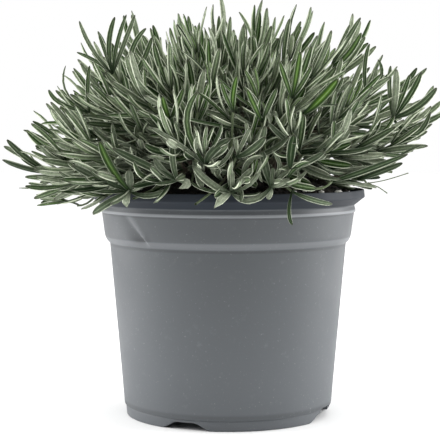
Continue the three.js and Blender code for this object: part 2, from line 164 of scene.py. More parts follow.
# Shoots that give the outline its shape: where the tip of each one's leaves reaches
OUTLINE_SHOOTS = [
    (-151, -12, 189), (-134, -34, 166), (-112, -62, 161), (-138, 18, 207),
    (-130, -46, 200), (-120, -24, 224), (-106, 26, 240), (-96, -8, 262),
    (-71, 14, 277), (-52, -22, 268), (-30, 18, 280), (-7, -20, 284), (24, 16, 282),
    (50, -14, 280), (70, 20, 270), (95, 8, 273), (110, -22, 247), (134, 16, 240),
    (152, 38, 226), (135, -18, 209), (114, -34, 181),
]

# Shoots that come over the lip at the front
FRONT_SHOOTS = [
    (2, -136, 172), (46, -128, 176), (-54, -124, 176),
]

# A bare patch of mix shows at the front right
BARE_PATCH = {"azimuth": 50, "elevation": 4, "span": 20}

LOW_SHOOT_SPACING = 15.5
HIGH_SHOOT_SPACING = 20
EVEN_SHOOTS = 86
SHOOT_COUNT = 50

# Leaves, as in the part
LEAF_PAIRS = 5
UPRIGHT_LEAF_PAIRS = 4
UPRIGHT = 0.6
PAIR_SPACING = 12.5
TOP_PAIR_SETBACK = 2
LOWEST_LEAF_PLACE = 0.22
LOWEST_LEAF = {"length": 45, "spread": 48, "width": 6.8}
TOP_LEAF = {"length": 33, "spread": 15, "width": 5.4}
LEAF_THICKNESS = 1.3
LEAF_SEAT = 0.4
LEAF_GAP = 0.5
LIP_GAP = 0.8

# How leaves differ from each other: the least and most of each draw
PLANT_SEED = 34
LENGTH_SHARE = (0.88, 1.1)
SPREAD_SHARE = (0.8, 1.15)
CURL = (-0.85, -0.25)
CURL_PIVOT = 0.35
LIFT = (-1, 3)
TURN = (-0.25, 0.25)
REACH_SHARE = (0.88, 1)

# The balls that stand for a leaf's room, as shares of its half width at its root, belly and tip
BLADE_SAMPLES = 12
ROOM_ROOT = 0.4
ROOM_BELLY_PLACE = 0.6
ROOM_TIP = 0.5
ROOM_TIP_PLACE = 0.85
STEM_SAMPLE_STEP = 3
ROOM_CAPACITY = 60000
NEARBY = 12
NOBODY = -2
ANY_OWNER = -1

# Ways to lay a leaf that would touch another shoot: share of its spread, turn round the stem
LEAF_TRIES = [(share, side * turn) for share, turn in ((1, 24), (0.75, 30), (0.5, 36)) for side in (0, 1, -1)]
LEAF_TRIES.append((0.3, 0))

# Ways to lay one of the leaves that fill a tuft: share of its spread, turn, share of its length
MORE_WAYS = [
    (1, 0, 1), (1, 20, 1), (1, -20, 1), (0.7, 0, 1), (0.7, 32, 0.9),
    (0.7, -32, 0.9), (0.45, 0, 0.8), (1.2, 45, 0.75), (1.2, -45, 0.75),
    (0.4, 0, 0.6),
]

# Those leaves may cross by this much, and the first balls, near the stem, don't count
MORE_GAP = -0.3
ROOM_FROM = 5

# Pairs that fill the tuft of a stem: setback from its tip, quarter turns, length, width, spread, youth
STEM_PAIRS = [
    (0.2, 0.5, 13, 2.8, 5, 1.0),
    (1.0, 1.5, 20, 3.8, 10, 0.85),
    (6, 0.5, 33, 5.2, 17, 0.5),
    (11, 1.5, 25, 4.2, 14, 0.6),
    (18, 0.5, 38, 5.8, 24, 0.25),
    (31, 0.5, 40, 6.0, 30, 0.1),
    (37, 1.1, 24, 4.2, 24, 0.4),
    (44, 0.5, 42, 6.2, 36, 0.0),
    (57, 1.0, 39, 6.0, 40, 0.0),
    (64, 0.4, 27, 4.6, 34, 0.2),
    (71, 0.0, 37, 5.8, 46, 0.0),
    (84, 1.0, 35, 5.6, 50, 0.0),
]

# Pairs on a side branch
BRANCH_PAIRS = [
    (0.2, 0.5, 13, 2.8, 5, 1.0),
    (1.0, 1.5, 21, 3.8, 11, 0.85),
    (3.5, 0.0, 32, 5.2, 15, 0.5),
    (10, 1.0, 36, 5.6, 20, 0.35),
    (14, 0.4, 24, 4.2, 17, 0.5),
    (18, 0.0, 39, 5.9, 26, 0.2),
    (28, 1.0, 40, 6.1, 31, 0.1),
    (38, 0.0, 40, 6.0, 38, 0.0),
    (48, 1.0, 37, 5.8, 44, 0.0),
    (59, 0.0, 35, 5.6, 48, 0.0),
]

# How the leaves that fill a tuft differ: the least and most of each draw
FINER_SEED = 77
MORE_TURN = (-0.55, 0.55)
MORE_LENGTH = (0.76, 1.12)
MORE_WIDTH = (0.78, 1.12)
MORE_SPREAD = (0.6, 1.4)
CURLED_OUT = 0.85
CURL_OUT = (-0.95, -0.1)
CURL_IN = (0.1, 0.7)
YOUTH_STRAY = (-0.12, 0.12)

# A tuft's vigour makes its leaves younger, and more so where it ends above a height
VIGOUR = (0.15, 1.1)
VIGOUR_POWER = 2.5
HIGH_VIGOUR = {"above": 200, "more": 0.45}

# Looks of single leaves: the least and most of each draw
LEAF_LOOKS = {"twist": (-0.7, 0.7), "fold": (0.04, 0.42), "wave": (-0.25, 0.25), "sway": (-4.5, 4.5)}
FELT = (0, 0.36)
FELT_POWER = 3

# How young a stem's own leaves are: the topmost pair, and how much less so the lowest
OWN_YOUTH = 0.3
OWN_YOUTH_FALL = 0.5

# Painted shade and light: a leaf is darker the deeper it ends in the dome, and brighter the higher it ends
# between two heights
DEEP_LEAVES = (0.56, 0.95)
DEEP_PAINTED_SHADE = 0.05
HIGH_LEAVES = (180, 235)
HIGH_PAINTED_LIGHT = 0.35

# Layers of side branches that fill the dome between the stems, from its skin inwards:
# how far apart their tips stand, how deep they end, how many each stem bears and where on it they start
BRANCH_LAYERS = [
    {"spacing": 9.0 * DEGREE, "reach": (0.84, 0.98), "most": 4, "start": (0.25, 0.55)},
    {"spacing": 13.0 * DEGREE, "reach": (0.58, 0.74), "most": 3, "start": (0.1, 0.3)},
    {"spacing": 24.0 * DEGREE, "reach": (0.3, 0.42), "most": 2, "start": (0.05, 0.15)},
]
LAYER_TURN = {"first": 1.1, "each": 2}
BRANCH_SPIRAL = 320
BRANCH_LOWEST = 98 * DEGREE
BRANCH_HALVES = (0.9, 0.7)
BRANCH_STRAY = 0.22

# The outline of a leaf, its width as a share of the part's, how its tip and foot thin out, and its waves
LEAF_FOOT = 0.38
LEAF_BELLY = 0.5
LEAF_SHOULDER = 0.68
LEAF_ROUNDING = {"foot": 1.2, "shoulder": 2.2, "tip": 0.52}
FINE_WIDTH = 0.8
THIN_TIP = {"from": 0.8, "by": 0.7}
THIN_FOOT = 0.9
LEAF_WAVES = 9

# Points round half a blade, over and under: share of its half width, and height over its face in millimetres
BLADE_TOP = [(1.0, -0.42), (0.86, 0.04), (0.45, -0.1), (0.0, -0.46)]
BLADE_BOTTOM = [(-0.8, -0.92), (-0.36, -0.62), (0.0, -1.15)]
BLADE_RINGS = np.array([0, 0.1, 0.24, 0.4, 0.56, 0.7, 0.82, 0.91, 0.965, 0.995])

# Ways that a placed leaf's upper face looks
UP = (0, -0.35, 1)
BACK = (0, 1, 0.25)
OUT = (0, -1, 0.3)

# What placed leaves keep of their listed felt and of their drawn tint and twist. The most felted have pointed
# tips. A sprig's stem leaves its shoot at this share of the shoot's length.
PLACED = {"felt": 0.4, "tint": 0.3, "twist": 0.3}
POINTED_FELT = 0.7
SPRIG_START = 0.35

# No leaf that fills a tuft enters these boxes: room for the sprigs, and for the bare patch of mix
EMPTY_BOXES = [
    ((-80, -200, 0), (80, -52, 172)), ((50, -200, 0), (84, -26, 178)),
]

# Sprigs placed on the lip, in the front middle, at the upper left and at the right:
# the shoot that bears each, its heart, and its leaves. A leaf is its middle, its tip, its width and how much
# silver felt it has, then how young it is and the way that its face looks, where these aren't 0 and OUT.
SPRIGS = [
    (21, (1.5, -106, 158.5), [
        ((-10.5, -110, 163.5), (-22.5, -108, 175), 5.8, 0.6),
        ((0.5, -110, 168), (1.5, -112, 179), 3.6, 0.25),
        ((2, -113, 165.5), (2, -116, 172.5), 3.6, 0.6),
        ((8.5, -110, 167), (15, -112, 173.5), 5.4, 0.5),
        ((15, -108, 165.5), (19.5, -108, 179), 3.6, 0.45, 0, BACK),
        ((7, -104, 154), (14.5, -102, 151.5), 3.6, 0.4),
        ((10.5, -104, 156.5), (20, -102, 158.5), 2.5, 0.1, 0, UP),
        ((-3.5, -106, 155), (-9.5, -104, 148), 6.5, 0.95, 0, BACK),
        ((-13, -102, 159.5), (-24.5, -98, 165), 2.9, 0.1),
    ]),
    (22, (26.5, -100, 161.5), [
        ((27, -104, 168), (27.5, -106, 174), 3.3, 0.2, 0.3),
        ((32.5, -104, 168), (39.5, -104, 173.5), 3.6, 0.35),
        ((32, -102, 163.5), (38, -102, 167), 4.4, 0.5, 0, BACK),
        ((23, -104, 173.5), (20.5, -106, 184.5), 6.2, 0.15),
        ((31.5, -104, 174), (27.5, -106, 183), 3.3, 0.35, 0, BACK),
        ((17, -102, 154), (5, -103, 154), 5.1, 0.5),
        ((26, -98, 157.5), (24.5, -97, 153.5), 4.4, 0.6, 0, BACK),
        ((39.5, -98, 164), (49, -98, 172), 3.3, 0.45),
    ]),
    (22, (40, -92, 158.5), [
        ((53, -88, 153), (67.5, -72, 149.5), 4.5, 0.12),
        ((38, -94, 145.5), (40.5, -91.5, 137), 3.3, 0),
        ((44, -96, 164), (43, -96, 172.5), 2.9, 0.5),
    ]),
    (23, (-63, -82, 158), [
        ((-63, -86, 165), (-63.5, -88, 172), 6.6, 0.35),
        ((-51.5, -88, 155.5), (-38.5, -92, 159.5), 4.8, 0.15),
        ((-65.5, -84, 153), (-65, -80, 147.5), 6.3, 0.85, 0, BACK),
        ((-74, -92, 173), (-81.5, -96, 190.5), 6.6, 0.05, 0.65),
        ((-83, -88, 166.5), (-99.5, -88, 175), 5.5, 0.15),
        ((-58, -84, 160), (-52, -84, 164.5), 3.0, 0.7, 0, BACK),
        ((-78, -74, 150), (-89, -62, 142.5), 6.8, 0.1, 0.1),
        ((-79.5, -82, 158), (-96.5, -80, 160), 3.7, 0.1),
    ]),
    (23, (-32, -104, 166), [
        ((-34.5, -110, 176), (-35, -112, 189.5), 5.0, 0.2, 0.1),
        ((-40.5, -106, 171.5), (-46.5, -108, 180), 5.1, 0.3),
        ((-52, -108, 175.5), (-72.5, -108, 186), 6.5, 0.1),
        ((-39.5, -100, 164), (-47, -98, 164), 3.3, 0.15),
        ((-26, -104, 164), (-32, -103, 160.5), 6.5, 0.8, 0, BACK),
    ]),
    (21, (-14, -120, 175.5), [
        ((-10.5, -126, 183.5), (1, -128, 192), 6.7, 0.12),
        ((-25.5, -126, 199.5), (-19, -122, 220.5), 5.3, 0.1, 0.45),
        ((-4.5, -120, 177), (3, -120, 188), 3.2, 0.4),
        ((-31, -122, 188.5), (-48.5, -118, 199), 3.9, 0.5),
        ((-8, -118, 175), (-2, -118, 177.5), 4.6, 0.45),
    ]),
    (21, (4.5, -118, 180.5), [
        ((14, -124, 185), (22, -126, 193), 6.4, 0.15, 0.25),
        ((9, -120, 190.5), (13, -118, 198.5), 3.6, 0.5),
    ]),
    (22, (38, -110, 173.5), [
        ((38, -118, 183.5), (40, -120, 194.5), 7.1, 0),
        ((48.5, -114, 177.5), (59, -114, 184), 5.0, 0.15),
    ]),
    (22, (46.5, -98, 207), [
        ((57.5, -102, 216.5), (68, -102, 229), 7.6, 0, 1),
    ]),
    (22, (39.5, -100, 217), [
        ((42, -104, 231), (44.5, -100, 246), 5.1, 0.05, 0.85),
        ((35.5, -106, 227), (31.5, -104, 239.5), 4.7, 0.05, 0.6),
        ((45.5, -102, 226), (52, -98, 237.5), 4.4, 0.1, 0.5),
    ]),
    (21, (2.5, -114, 208.5), [
        ((2.5, -120, 219), (5, -118, 230.5), 4.6, 0, 0.8),
        ((-1.5, -120, 216.5), (-5, -118, 226.5), 3.9, 0.1, 0.55),
    ]),
    (23, (-36.5, -108, 203.5), [
        ((-39, -114, 210), (-41, -112, 218), 4.7, 0, 0.95),
        ((-32, -112, 212.5), (-28, -110, 223), 4.7, 0.05, 0.5),
    ]),
    (22, (20.5, -112, 202), [
        ((15.5, -118, 212), (11, -116, 222), 4.7, 0.05, 0.7),
        ((24.5, -116, 212), (29.5, -114, 223), 4.7, 0.1, 0.45),
    ]),
    (30, (-76, -55, 234), [
        ((-78, -60, 252.5), (-74, -58, 271), 4.6, 0.1, 0.3),
        ((-72.5, -60, 253.5), (-66.5, -58, 272.5), 3.8, 0.1, 0.1),
        ((-68.5, -58, 252.5), (-61, -56, 272.5), 4.2, 0.35),
        ((-89, -58, 250), (-97.5, -56, 268.5), 3.8, 0.4),
        ((-81, -60, 249.5), (-84.5, -58, 259.5), 3.1, 0.1),
        ((-86.5, -54, 242), (-100, -50, 248.5), 3.5, 0.1),
    ]),
    (30, (-64, -60, 228.5), [
        ((-63, -64, 248), (-53.5, -60, 263.5), 4.6, 0.1, 0.2),
        ((-55, -64, 243), (-50, -60, 257.5), 4.6, 0.1, 0.4),
    ]),
    (5, (-91.5, -50, 209), [
        ((-92.5, -54, 223.5), (-91, -54, 239.5), 3.8, 0.1, 0.4),
        ((-107, -50, 222.5), (-107.5, -46, 240), 1.9, 0.3),
        ((-110, -50, 214.5), (-119, -46, 224), 4.2, 0.1),
    ]),
    (19, (112, -20, 205.5), [
        ((118, -22, 220.5), (123.5, -20, 235), 4.8, 0.05, 0.2),
        ((123.5, -20, 220.5), (132, -16, 237), 5.6, 0.05, 0.1),
        ((128.5, -18, 212.5), (143.5, -10, 226.5), 6.4, 0.1),
        ((113.5, -24, 223), (114, -22, 238.5), 6.3, 0.6, 0, BACK),
        ((109.5, -22, 226), (110.5, -20, 241), 4.0, 0.3),
        ((127, -18, 194.5), (139, -12, 210), 5.2, 0.1),
    ]),
    (16, (93.5, -25, 219), [
        ((92, -28, 239.5), (95.5, -26, 255.5), 3.9, 0.1),
        ((103, -28, 232.5), (101, -26, 245), 3.2, 0.1),
        ((97.5, -28, 228.5), (100.5, -26, 239.5), 3.9, 0.45),
    ]),
    (15, (68, -40, 239), [
        ((77, -44, 254.5), (88, -40, 272), 4.7, 0.2),
        ((78.5, -44, 246.5), (88.5, -40, 262), 5.4, 0.05, 0.6),
        ((74.5, -42, 253.5), (81, -38, 267.5), 3.5, 0.3),
    ]),
    (20, (66.5, -62, 163.5), [
        ((87.5, -60, 170), (119, -50, 181.5), 5.4, 0.05, 0.1),
        ((84, -60, 162), (98, -52, 159), 2.7, 0.5),
    ]),
]

# Dry stalks at the right of the lip: the shoot that bears each, its foot, middle and tip
STALK_HALVES = (0.35, 0.35)
DRY_STALKS = [
    (20, (80, -30, 160), (104, -22, 162), (123, -20, 168)),
    (20, (84, -34, 160), (99, -28, 161), (108, -26, 154.5)),
]

# Colours, as shares of light given back
BLACK = (0, 0, 0)
WHITE = (1, 1, 1)
POT_COLOR_LOW = (0.098, 0.107, 0.117)
POT_COLOR_HIGH = (0.116, 0.126, 0.136)
POT_FLECK = (0.5, 0.52, 0.53)
POT_SCUFF = (0.42, 0.44, 0.45)
# Painted highlight on the bead
BEAD_HIGHLIGHT = (0.45, 0.47, 0.49)
# Painted highlight on the step and along the dent's crease
POT_HIGHLIGHT = (0.4, 0.42, 0.44)
# The lip: partly its own darker navy tone, partly painted shade under the foliage
LIP_TONE_AND_SHADE_LOW = (0.004, 0.008, 0.014)
LIP_TONE_AND_SHADE_HIGH = (0.010, 0.016, 0.025)
LEAF_DARK = (0.005, 0.02, 0.003)
LEAF_GREEN = (0.05, 0.136, 0.01)
LEAF_YOUNG = (0.1, 0.24, 0.006)
LEAF_GREY = (0.08, 0.13, 0.055)
LEAF_FELT = (0.72, 0.78, 0.6)
LEAF_TIP = (0.045, 0.045, 0.03)
# Painted shade at the feet of the leaves, deep in their tufts
LEAF_FOOT_SHADE = (0.007, 0.022, 0.004)

# The studio: the camera, and the room's light from eye level to overhead
CAMERA = {"lens": 116.836, "sensor": 36, "place": (-5.547, -994.887, 195), "down": 3.3875}
WORLD_SEEN = 1.0
WORLD_LOW = 0.1
WORLD_HIGH = 1.95
WORLD_BANDS = (0.35, 0.95)

# The rest of the studio, in metres: how far the camera sees, the two lights and half the floor's side
CAMERA_SIGHT = 50
LIGHT = {"side": 1.5, "back": 0.25, "height": 0.6, "aim": (0, 0, 0.15), "size": 1.4, "power": 34}
FLOOR_HALF = 6


def seeded_numbers(seed):
    """Gives the same run of numbers from 0 to 1 each time."""
    state = seed

    def draw():
        nonlocal state
        state = (state * DRAW_FACTOR + DRAW_STEP) % DRAW_RANGE
        return state / DRAW_RANGE

    return draw


def mix(low, high, share):
    return low + (high - low) * share


def smooth_step(low, high, x):
    t = np.clip((np.asarray(x, dtype=float) - low) / (high - low), 0, 1)
    return t * t * (3 - 2 * t)


def at_azimuth(azimuth, radius, height):
    """The point at a radius and height in the direction of an azimuth."""
    return np.array([radius * math.sin(azimuth), -radius * math.cos(azimuth), height])


def across_azimuth(azimuth):
    return np.array([math.cos(azimuth), math.sin(azimuth), 0])


def azimuth_of(point):
    return math.atan2(point[0], -point[1])


def unit(v):
    return v / np.linalg.norm(v)


def angle_between(a, b):
    return math.acos(max(-1, min(1, float(np.dot(a, b) / np.linalg.norm(a) / np.linalg.norm(b)))))


def heap_fall(radius):
    """How far the heap of the mix has fallen at a radius: 0 at its middle, 1 at its edge."""
    return np.minimum(1, radius / SOIL_EDGE_RADIUS) ** SOIL_HEAP_POWER


def heap_height(x, y):
    fall = heap_fall(np.hypot(x, y))
    a, b, c, d = SOIL_LUMP_WAVES
    lumps = SOIL_LUMP * (np.sin(x * a) * np.cos(y * b) + np.sin(x * c + y * d))
    return mix(SOIL_TOP, SOIL_EDGE, fall) + lumps * (1 - fall)


class Curve:
    """A cubic curve with places measured along its length."""

    DIVISIONS = 200
    NUDGE = 0.0001

    def __init__(self, *points):
        self.points = [np.asarray(p, dtype=float) for p in points]
        places = [self.point(i / self.DIVISIONS) for i in range(self.DIVISIONS + 1)]
        steps = np.linalg.norm(np.diff(np.array(places), axis=0), axis=1)
        self.lengths = np.concatenate([[0], np.cumsum(steps)])
        self.length = float(self.lengths[-1])

    def point(self, t):
        a, b, c, d = self.points
        k = 1 - t
        return k * k * k * a + 3 * k * k * t * b + 3 * k * t * t * c + t * t * t * d

    def parameter(self, share):
        spots = np.linspace(0, 1, self.DIVISIONS + 1)
        return float(np.interp(share * self.length, self.lengths, spots))

    def point_at(self, share):
        return self.point(self.parameter(share))

    def tangent_at(self, share):
        t = self.parameter(share)
        return unit(self.point(min(1.0, t + self.NUDGE)) - self.point(max(0.0, t - self.NUDGE)))


def bent(start, setting_out, out_share, end, arriving, in_share):
    """A curve that sets out one way and arrives another, with its handles as shares of its span."""
    span = float(np.linalg.norm(end - start))
    return Curve(start, start + setting_out * span * out_share, end - arriving * span * in_share, end)


# Where the shoots and their leaves stand, by the same rule as in the part


def dome_reach(polar):
    """The distance from the dome's middle to its skin, at a polar angle from straight up."""
    rise = abs(math.cos(polar) / DOME_RISE) ** DOME_POWER
    run = abs(math.sin(polar) / DOME_RADIUS) ** DOME_POWER
    return (rise + run) ** (-1 / DOME_POWER)


def spiral(count, lowest, turn=0):
    """Evenly spaced slopes down to the lowest, each after how upright it is and how far the dome reaches."""
    for i in range(count):
        upright = mix(1, math.cos(lowest), (i + 0.5) / count)
        polar = math.acos(upright)
        yield upright, dome_reach(polar), at_azimuth(i * GOLDEN_TURN + turn, math.sin(polar), math.cos(polar))


def is_crowded(slope, others, spacing):
    """Whether a slope is near others or over the bare patch of mix."""
    tilt = BARE_PATCH["elevation"] * DEGREE
    patch = at_azimuth(BARE_PATCH["azimuth"] * DEGREE, math.cos(tilt), math.sin(tilt))
    if angle_between(patch, slope) < BARE_PATCH["span"] * DEGREE:
        return True
    return any(angle_between(other, slope) < spacing for other in others)


def right_line(x):
    """The height that leaves stand above past the lip's right side."""
    return RIGHT_LIFT["height"] + (x - RIGHT_LIFT["from"]) * RIGHT_LIFT["slope"]


def shoot_reaches(random):
    """The tips of the listed shoots, then of an even spiral of shoots over the dome."""
    reaches = [np.array(place, dtype=float) for place in OUTLINE_SHOOTS + FRONT_SHOOTS]
    for upright, reach, slope in spiral(EVEN_SHOOTS, DOME_LOWEST):
        if len(reaches) >= SHOOT_COUNT:
            break
        tip = slope * (reach * mix(*REACH_SHARE, random())) + DOME_MIDDLE
        spacing = mix(LOW_SHOOT_SPACING, HIGH_SHOOT_SPACING, max(0, upright)) * DEGREE
        low_right = tip[0] > RIGHT_LIFT["from"] and tip[2] < right_line(tip[0])
        if not low_right and not is_crowded(slope, [other - DOME_MIDDLE for other in reaches], spacing):
            reaches.append(tip)
    return reaches


def risen(slope):
    """The way that a tuft points: the dome's slope, turned up, most at the front and back."""
    level = math.hypot(slope[0], slope[1])
    facing = abs(slope[1]) / level if level > 0 else 0
    rise = mix(*TUFT_RISE, facing) * min(1, max(0, slope[2] / mix(*TUFT_RISE_SLOPE, facing)))
    return unit(slope + np.array([0, 0, rise]))


def stem_of(reach):
    """A stem that stands upright in the mix and bends over to the way that its leaves point."""
    slope = unit(reach - DOME_MIDDLE)
    direction = risen(slope)
    azimuth = azimuth_of(slope)
    share = max(0, 1 - slope[2]) / (1 - math.cos(DOME_LOWEST))
    radius = CROWN_RADIUS * min(1, math.sqrt(share))
    start = at_azimuth(azimuth, radius, mix(SOIL_TOP, SOIL_EDGE, heap_fall(radius)) + STEM_STRAIGHT)
    apex = reach - direction * TUFT_OVERHANG
    curve = bent(start, np.array([0, 0, 1]), STEM_RISE_SHARE, apex, direction, STEM_REACH_SHARE)
    return {"slope": slope, "curve": curve, "side": across_azimuth(azimuth), "upright": slope[2] > UPRIGHT}


def leaf_line(leaf, s):
    """Points of a leaf's middle line at shares s of its length, with the way that its face looks there."""
    s = s[:, None]
    first = leaf["spread"] - leaf["curl"] * CURL_PIVOT
    angle = first + leaf["curl"] * s
    along = leaf["length"] * (np.sin(angle) - math.sin(first)) / leaf["curl"]
    out = leaf["length"] * (math.cos(first) - np.cos(angle)) / leaf["curl"]
    points = leaf["root"] + leaf["forward"] * along + leaf["outward"] * (out + LEAF_SEAT)
    points[:, 2] += leaf["lift"] * s[:, 0] ** 2
    return points, leaf["forward"] * np.sin(angle) - leaf["outward"] * np.cos(angle)


def leaf_room(leaf):
    """Balls along a leaf that stand for its room, from clear of the stem to its tip."""
    s = np.arange(1, BLADE_SAMPLES + 1) / BLADE_SAMPLES
    points, faces = leaf_line(leaf, s)
    belly = mix(ROOM_ROOT, 1, np.minimum(1, s / ROOM_BELLY_PLACE))
    width = np.where(s > ROOM_TIP_PLACE, ROOM_TIP, belly)
    return points - faces * (LEAF_THICKNESS / 2), leaf["width"] / 2 * width


def stem_room(stem):
    count = math.ceil(stem["curve"].length / STEM_SAMPLE_STEP)
    points = np.array([stem["curve"].point(i / count) for i in range(count + 1)])
    return points, np.full(count + 1, STEM_HALVES[0])


def clear_of_pot(points, radii):
    """Whether balls keep clear of the mix and the lip, and hang no lower than leaves may."""
    x, height = points[:, 0], points[:, 2]
    out = np.hypot(x, points[:, 1])
    heap = mix(SOIL_TOP, SOIL_EDGE, heap_fall(out))
    buried = (out < SOIL_EDGE_RADIUS) & (height < heap + 2 * SOIL_LUMP + radii)
    low = (out > RIM_RADIUS + radii) & (height < LOWEST_POINT)
    low_right = (x > RIGHT_LIFT["from"]) & (height < right_line(x))
    room = radii + LIP_GAP
    over_lip = (out > SOIL_EDGE_RADIUS - room) & (out < RIM_RADIUS + room)
    return not np.any(buried | low | low_right | (over_lip & (height < POT_HEIGHT + room)))


class Room:
    """The room that stems and leaves take, as balls that belong to their shoots."""

    def __init__(self):
        self.points = np.zeros((ROOM_CAPACITY, 3))
        self.radii = np.zeros(ROOM_CAPACITY)
        self.owners = np.full(ROOM_CAPACITY, ANY_OWNER)
        self.count = 0

    def add(self, points, radii, owner):
        end = self.count + len(points)
        self.points[self.count : end] = points
        self.radii[self.count : end] = radii
        self.owners[self.count : end] = owner
        self.count = end

    def is_clear(self, points, radii, owner, slack):
        if not clear_of_pot(points, radii):
            return False
        taken, sizes, owners = (kept[: self.count] for kept in (self.points, self.radii, self.owners))
        low, high = points.min(axis=0) - NEARBY, points.max(axis=0) + NEARBY
        near = np.all((taken > low) & (taken < high), axis=1) & (owners != owner)
        gaps = np.linalg.norm(points[:, None, :] - taken[near], axis=2)
        return bool(np.all(gaps > radii[:, None] + sizes[near] + slack))


def leaf_at(stem, place, **measures):
    forward = stem["curve"].tangent_at(place)
    across = np.cross(stem["side"], forward)
    root = stem["curve"].point_at(place)
    return {"root": root, "forward": forward, "side": stem["side"], "across": across, **measures}


def leaf_of(stem, pair, half_turn, random):
    """One leaf of a pair. The pairs are numbered down from the tip, and each stands across the last."""
    age = pair / (LEAF_PAIRS - 1)
    measures = ("length", "spread", "width")
    length, spread, width = (mix(TOP_LEAF[key], LOWEST_LEAF[key], age) for key in measures)
    back = TOP_PAIR_SETBACK + PAIR_SPACING * pair
    return leaf_at(
        stem,
        max(LOWEST_LEAF_PLACE, 1 - back / stem["curve"].length),
        turn=stem["phase"] + (pair % 2) * (math.pi / 2) + half_turn + mix(*TURN, random()),
        length=length * mix(*LENGTH_SHARE, random()),
        spread=spread * DEGREE * mix(*SPREAD_SHARE, random()),
        width=width,
        curl=mix(*CURL, random()),
        lift=mix(*LIFT, random()),
        age=age,
    )


def laid(leaf, spread_share, turn_degrees, length_share=1):
    """The same leaf, brought in towards its stem, turned round it and shortened."""
    turn = leaf["turn"] + turn_degrees * DEGREE
    outward = leaf["side"] * math.cos(turn) + leaf["across"] * math.sin(turn)
    spread = leaf["spread"] * spread_share
    return {**leaf, "outward": outward, "spread": spread, "length": leaf["length"] * length_share}


def clear_way(wanted, ways, room, owner, slack, first_ball=0):
    """The first way to lay a leaf that touches nothing, with the room that it takes, or none."""
    for way in ways:
        leaf = laid(wanted, *way)
        points, radii = leaf_room(leaf)
        if room.is_clear(points[first_ball:], radii[first_ball:], owner, slack):
            return leaf, points, radii
    return None


def lay_leaves(stems, room, random):
    """Lays every leaf of every stem, the outermost pairs first, each clear of the other shoots."""
    for owner, stem in enumerate(stems):
        room.add(*stem_room(stem), owner)
    for stem in stems:
        stem["phase"] = random() * math.pi
        stem["leaves"] = []
    for pair in range(LEAF_PAIRS):
        for owner, stem in enumerate(stems):
            if pair >= UPRIGHT_LEAF_PAIRS and stem["upright"]:
                continue
            for half_turn in (0, math.pi):
                wanted = leaf_of(stem, pair, half_turn, random)
                found = clear_way(wanted, LEAF_TRIES, room, owner, LEAF_GAP)
                if found:
                    stem["leaves"].append(found[0])
                    room.add(*found[1:], owner)


# Side branches, finer leaves and placed sprigs


def branch_of(trunk, slope, reach, place, random):
    """A side branch from a place on a stem to a tuft that points along the dome's slope."""
    stray = np.array([mix(-1, 1, random()) for _ in range(3)]) * BRANCH_STRAY
    direction = unit(risen(slope) + stray)
    apex = slope * reach + DOME_MIDDLE - direction * TUFT_OVERHANG
    setting_out = trunk.tangent_at(place)
    curve = bent(trunk.point_at(place), setting_out, STEM_REACH_SHARE, apex, direction, STEM_REACH_SHARE)
    return {"curve": curve, "side": across_azimuth(azimuth_of(slope)), "phase": random() * math.pi}


def grow_branches(stems, random):
    """Grows side branches layer by layer, each on the nearest stem that has few of them."""
    for stem in stems:
        stem["branches"] = []
    for layer, rule in enumerate(BRANCH_LAYERS):
        taken = [stem["slope"] for stem in stems] if layer == 0 else []
        borne = [0] * len(stems)
        turn = LAYER_TURN["first"] + LAYER_TURN["each"] * layer
        for _, reach, slope in spiral(BRANCH_SPIRAL, BRANCH_LOWEST, turn):
            if is_crowded(slope, taken, rule["spacing"]):
                continue
            taken.append(slope)
            apart = [angle_between(stem["slope"], slope) for stem in stems]
            owner = next(int(i) for i in np.argsort(apart) if borne[i] < rule["most"])
            borne[owner] += 1
            reach *= mix(*rule["reach"], random())
            place = mix(*rule["start"], random())
            branch = branch_of(stems[owner]["curve"], slope, reach, place, random)
            stems[owner]["branches"].append(branch)


def looks_of(random, youth):
    """What the finer leaf adds: its twist, its fold, and its own tone, drawn at random, on which the
    foliage's painted shade and light are later laid.
    """
    looks = {key: mix(*limits, random()) for key, limits in LEAF_LOOKS.items()}
    felt = mix(*FELT, random() ** FELT_POWER)
    return {**looks, "felt": felt, "tint": random(), "youth": max(0.0, min(1.0, youth)), "point": 0}


def depth_share(point):
    """How far out a point stands: 0 at the middle of the dome, 1 on its skin."""
    away = point - DOME_MIDDLE
    far = float(np.linalg.norm(away))
    return far / dome_reach(math.acos(away[2] / far))


def enters_a_box(points):
    """Whether any of the points is inside a box that is kept empty."""
    return any(((points > low) & (points < high)).all(axis=1).any() for low, high in EMPTY_BOXES)


def fill_tuft(stem, plan, leaves, room, random):
    """Adds the leaves that fill a tuft: pairs at the listed setbacks from the tip of its stem."""
    vigour = mix(*VIGOUR, random() ** VIGOUR_POWER)
    if stem["curve"].point_at(1)[2] > HIGH_VIGOUR["above"]:
        vigour += HIGH_VIGOUR["more"]
    for setback, quarter, length, width, spread, youth in plan:
        place = 1 - setback / stem["curve"].length
        if place < LOWEST_LEAF_PLACE:
            continue
        for half_turn in (0, math.pi):
            wanted = leaf_at(
                stem,
                place,
                turn=stem["phase"] + quarter * math.pi / 2 + half_turn + mix(*MORE_TURN, random()),
                length=length * mix(*MORE_LENGTH, random()),
                width=width * mix(*MORE_WIDTH, random()),
                spread=spread * DEGREE * mix(*MORE_SPREAD, random()),
                curl=mix(*(CURL_OUT if random() < CURLED_OUT else CURL_IN), random()),
                lift=mix(*LIFT, random()),
            )
            looks = looks_of(random, (youth + mix(*YOUTH_STRAY, random())) * vigour)
            found = clear_way(wanted, MORE_WAYS, room, NOBODY, MORE_GAP, ROOM_FROM)
            if found is None or enters_a_box(found[1][ROOM_FROM:]):
                continue
            leaf, points, radii = found
            leaf.update(looks)
            # Painted shade: the deeper in the dome the leaf ends, the darker its tone
            leaf["tint"] *= mix(DEEP_PAINTED_SHADE, 1, smooth_step(*DEEP_LEAVES, depth_share(points[-1])))
            leaves.append(leaf)
            room.add(points, radii, ANY_OWNER)


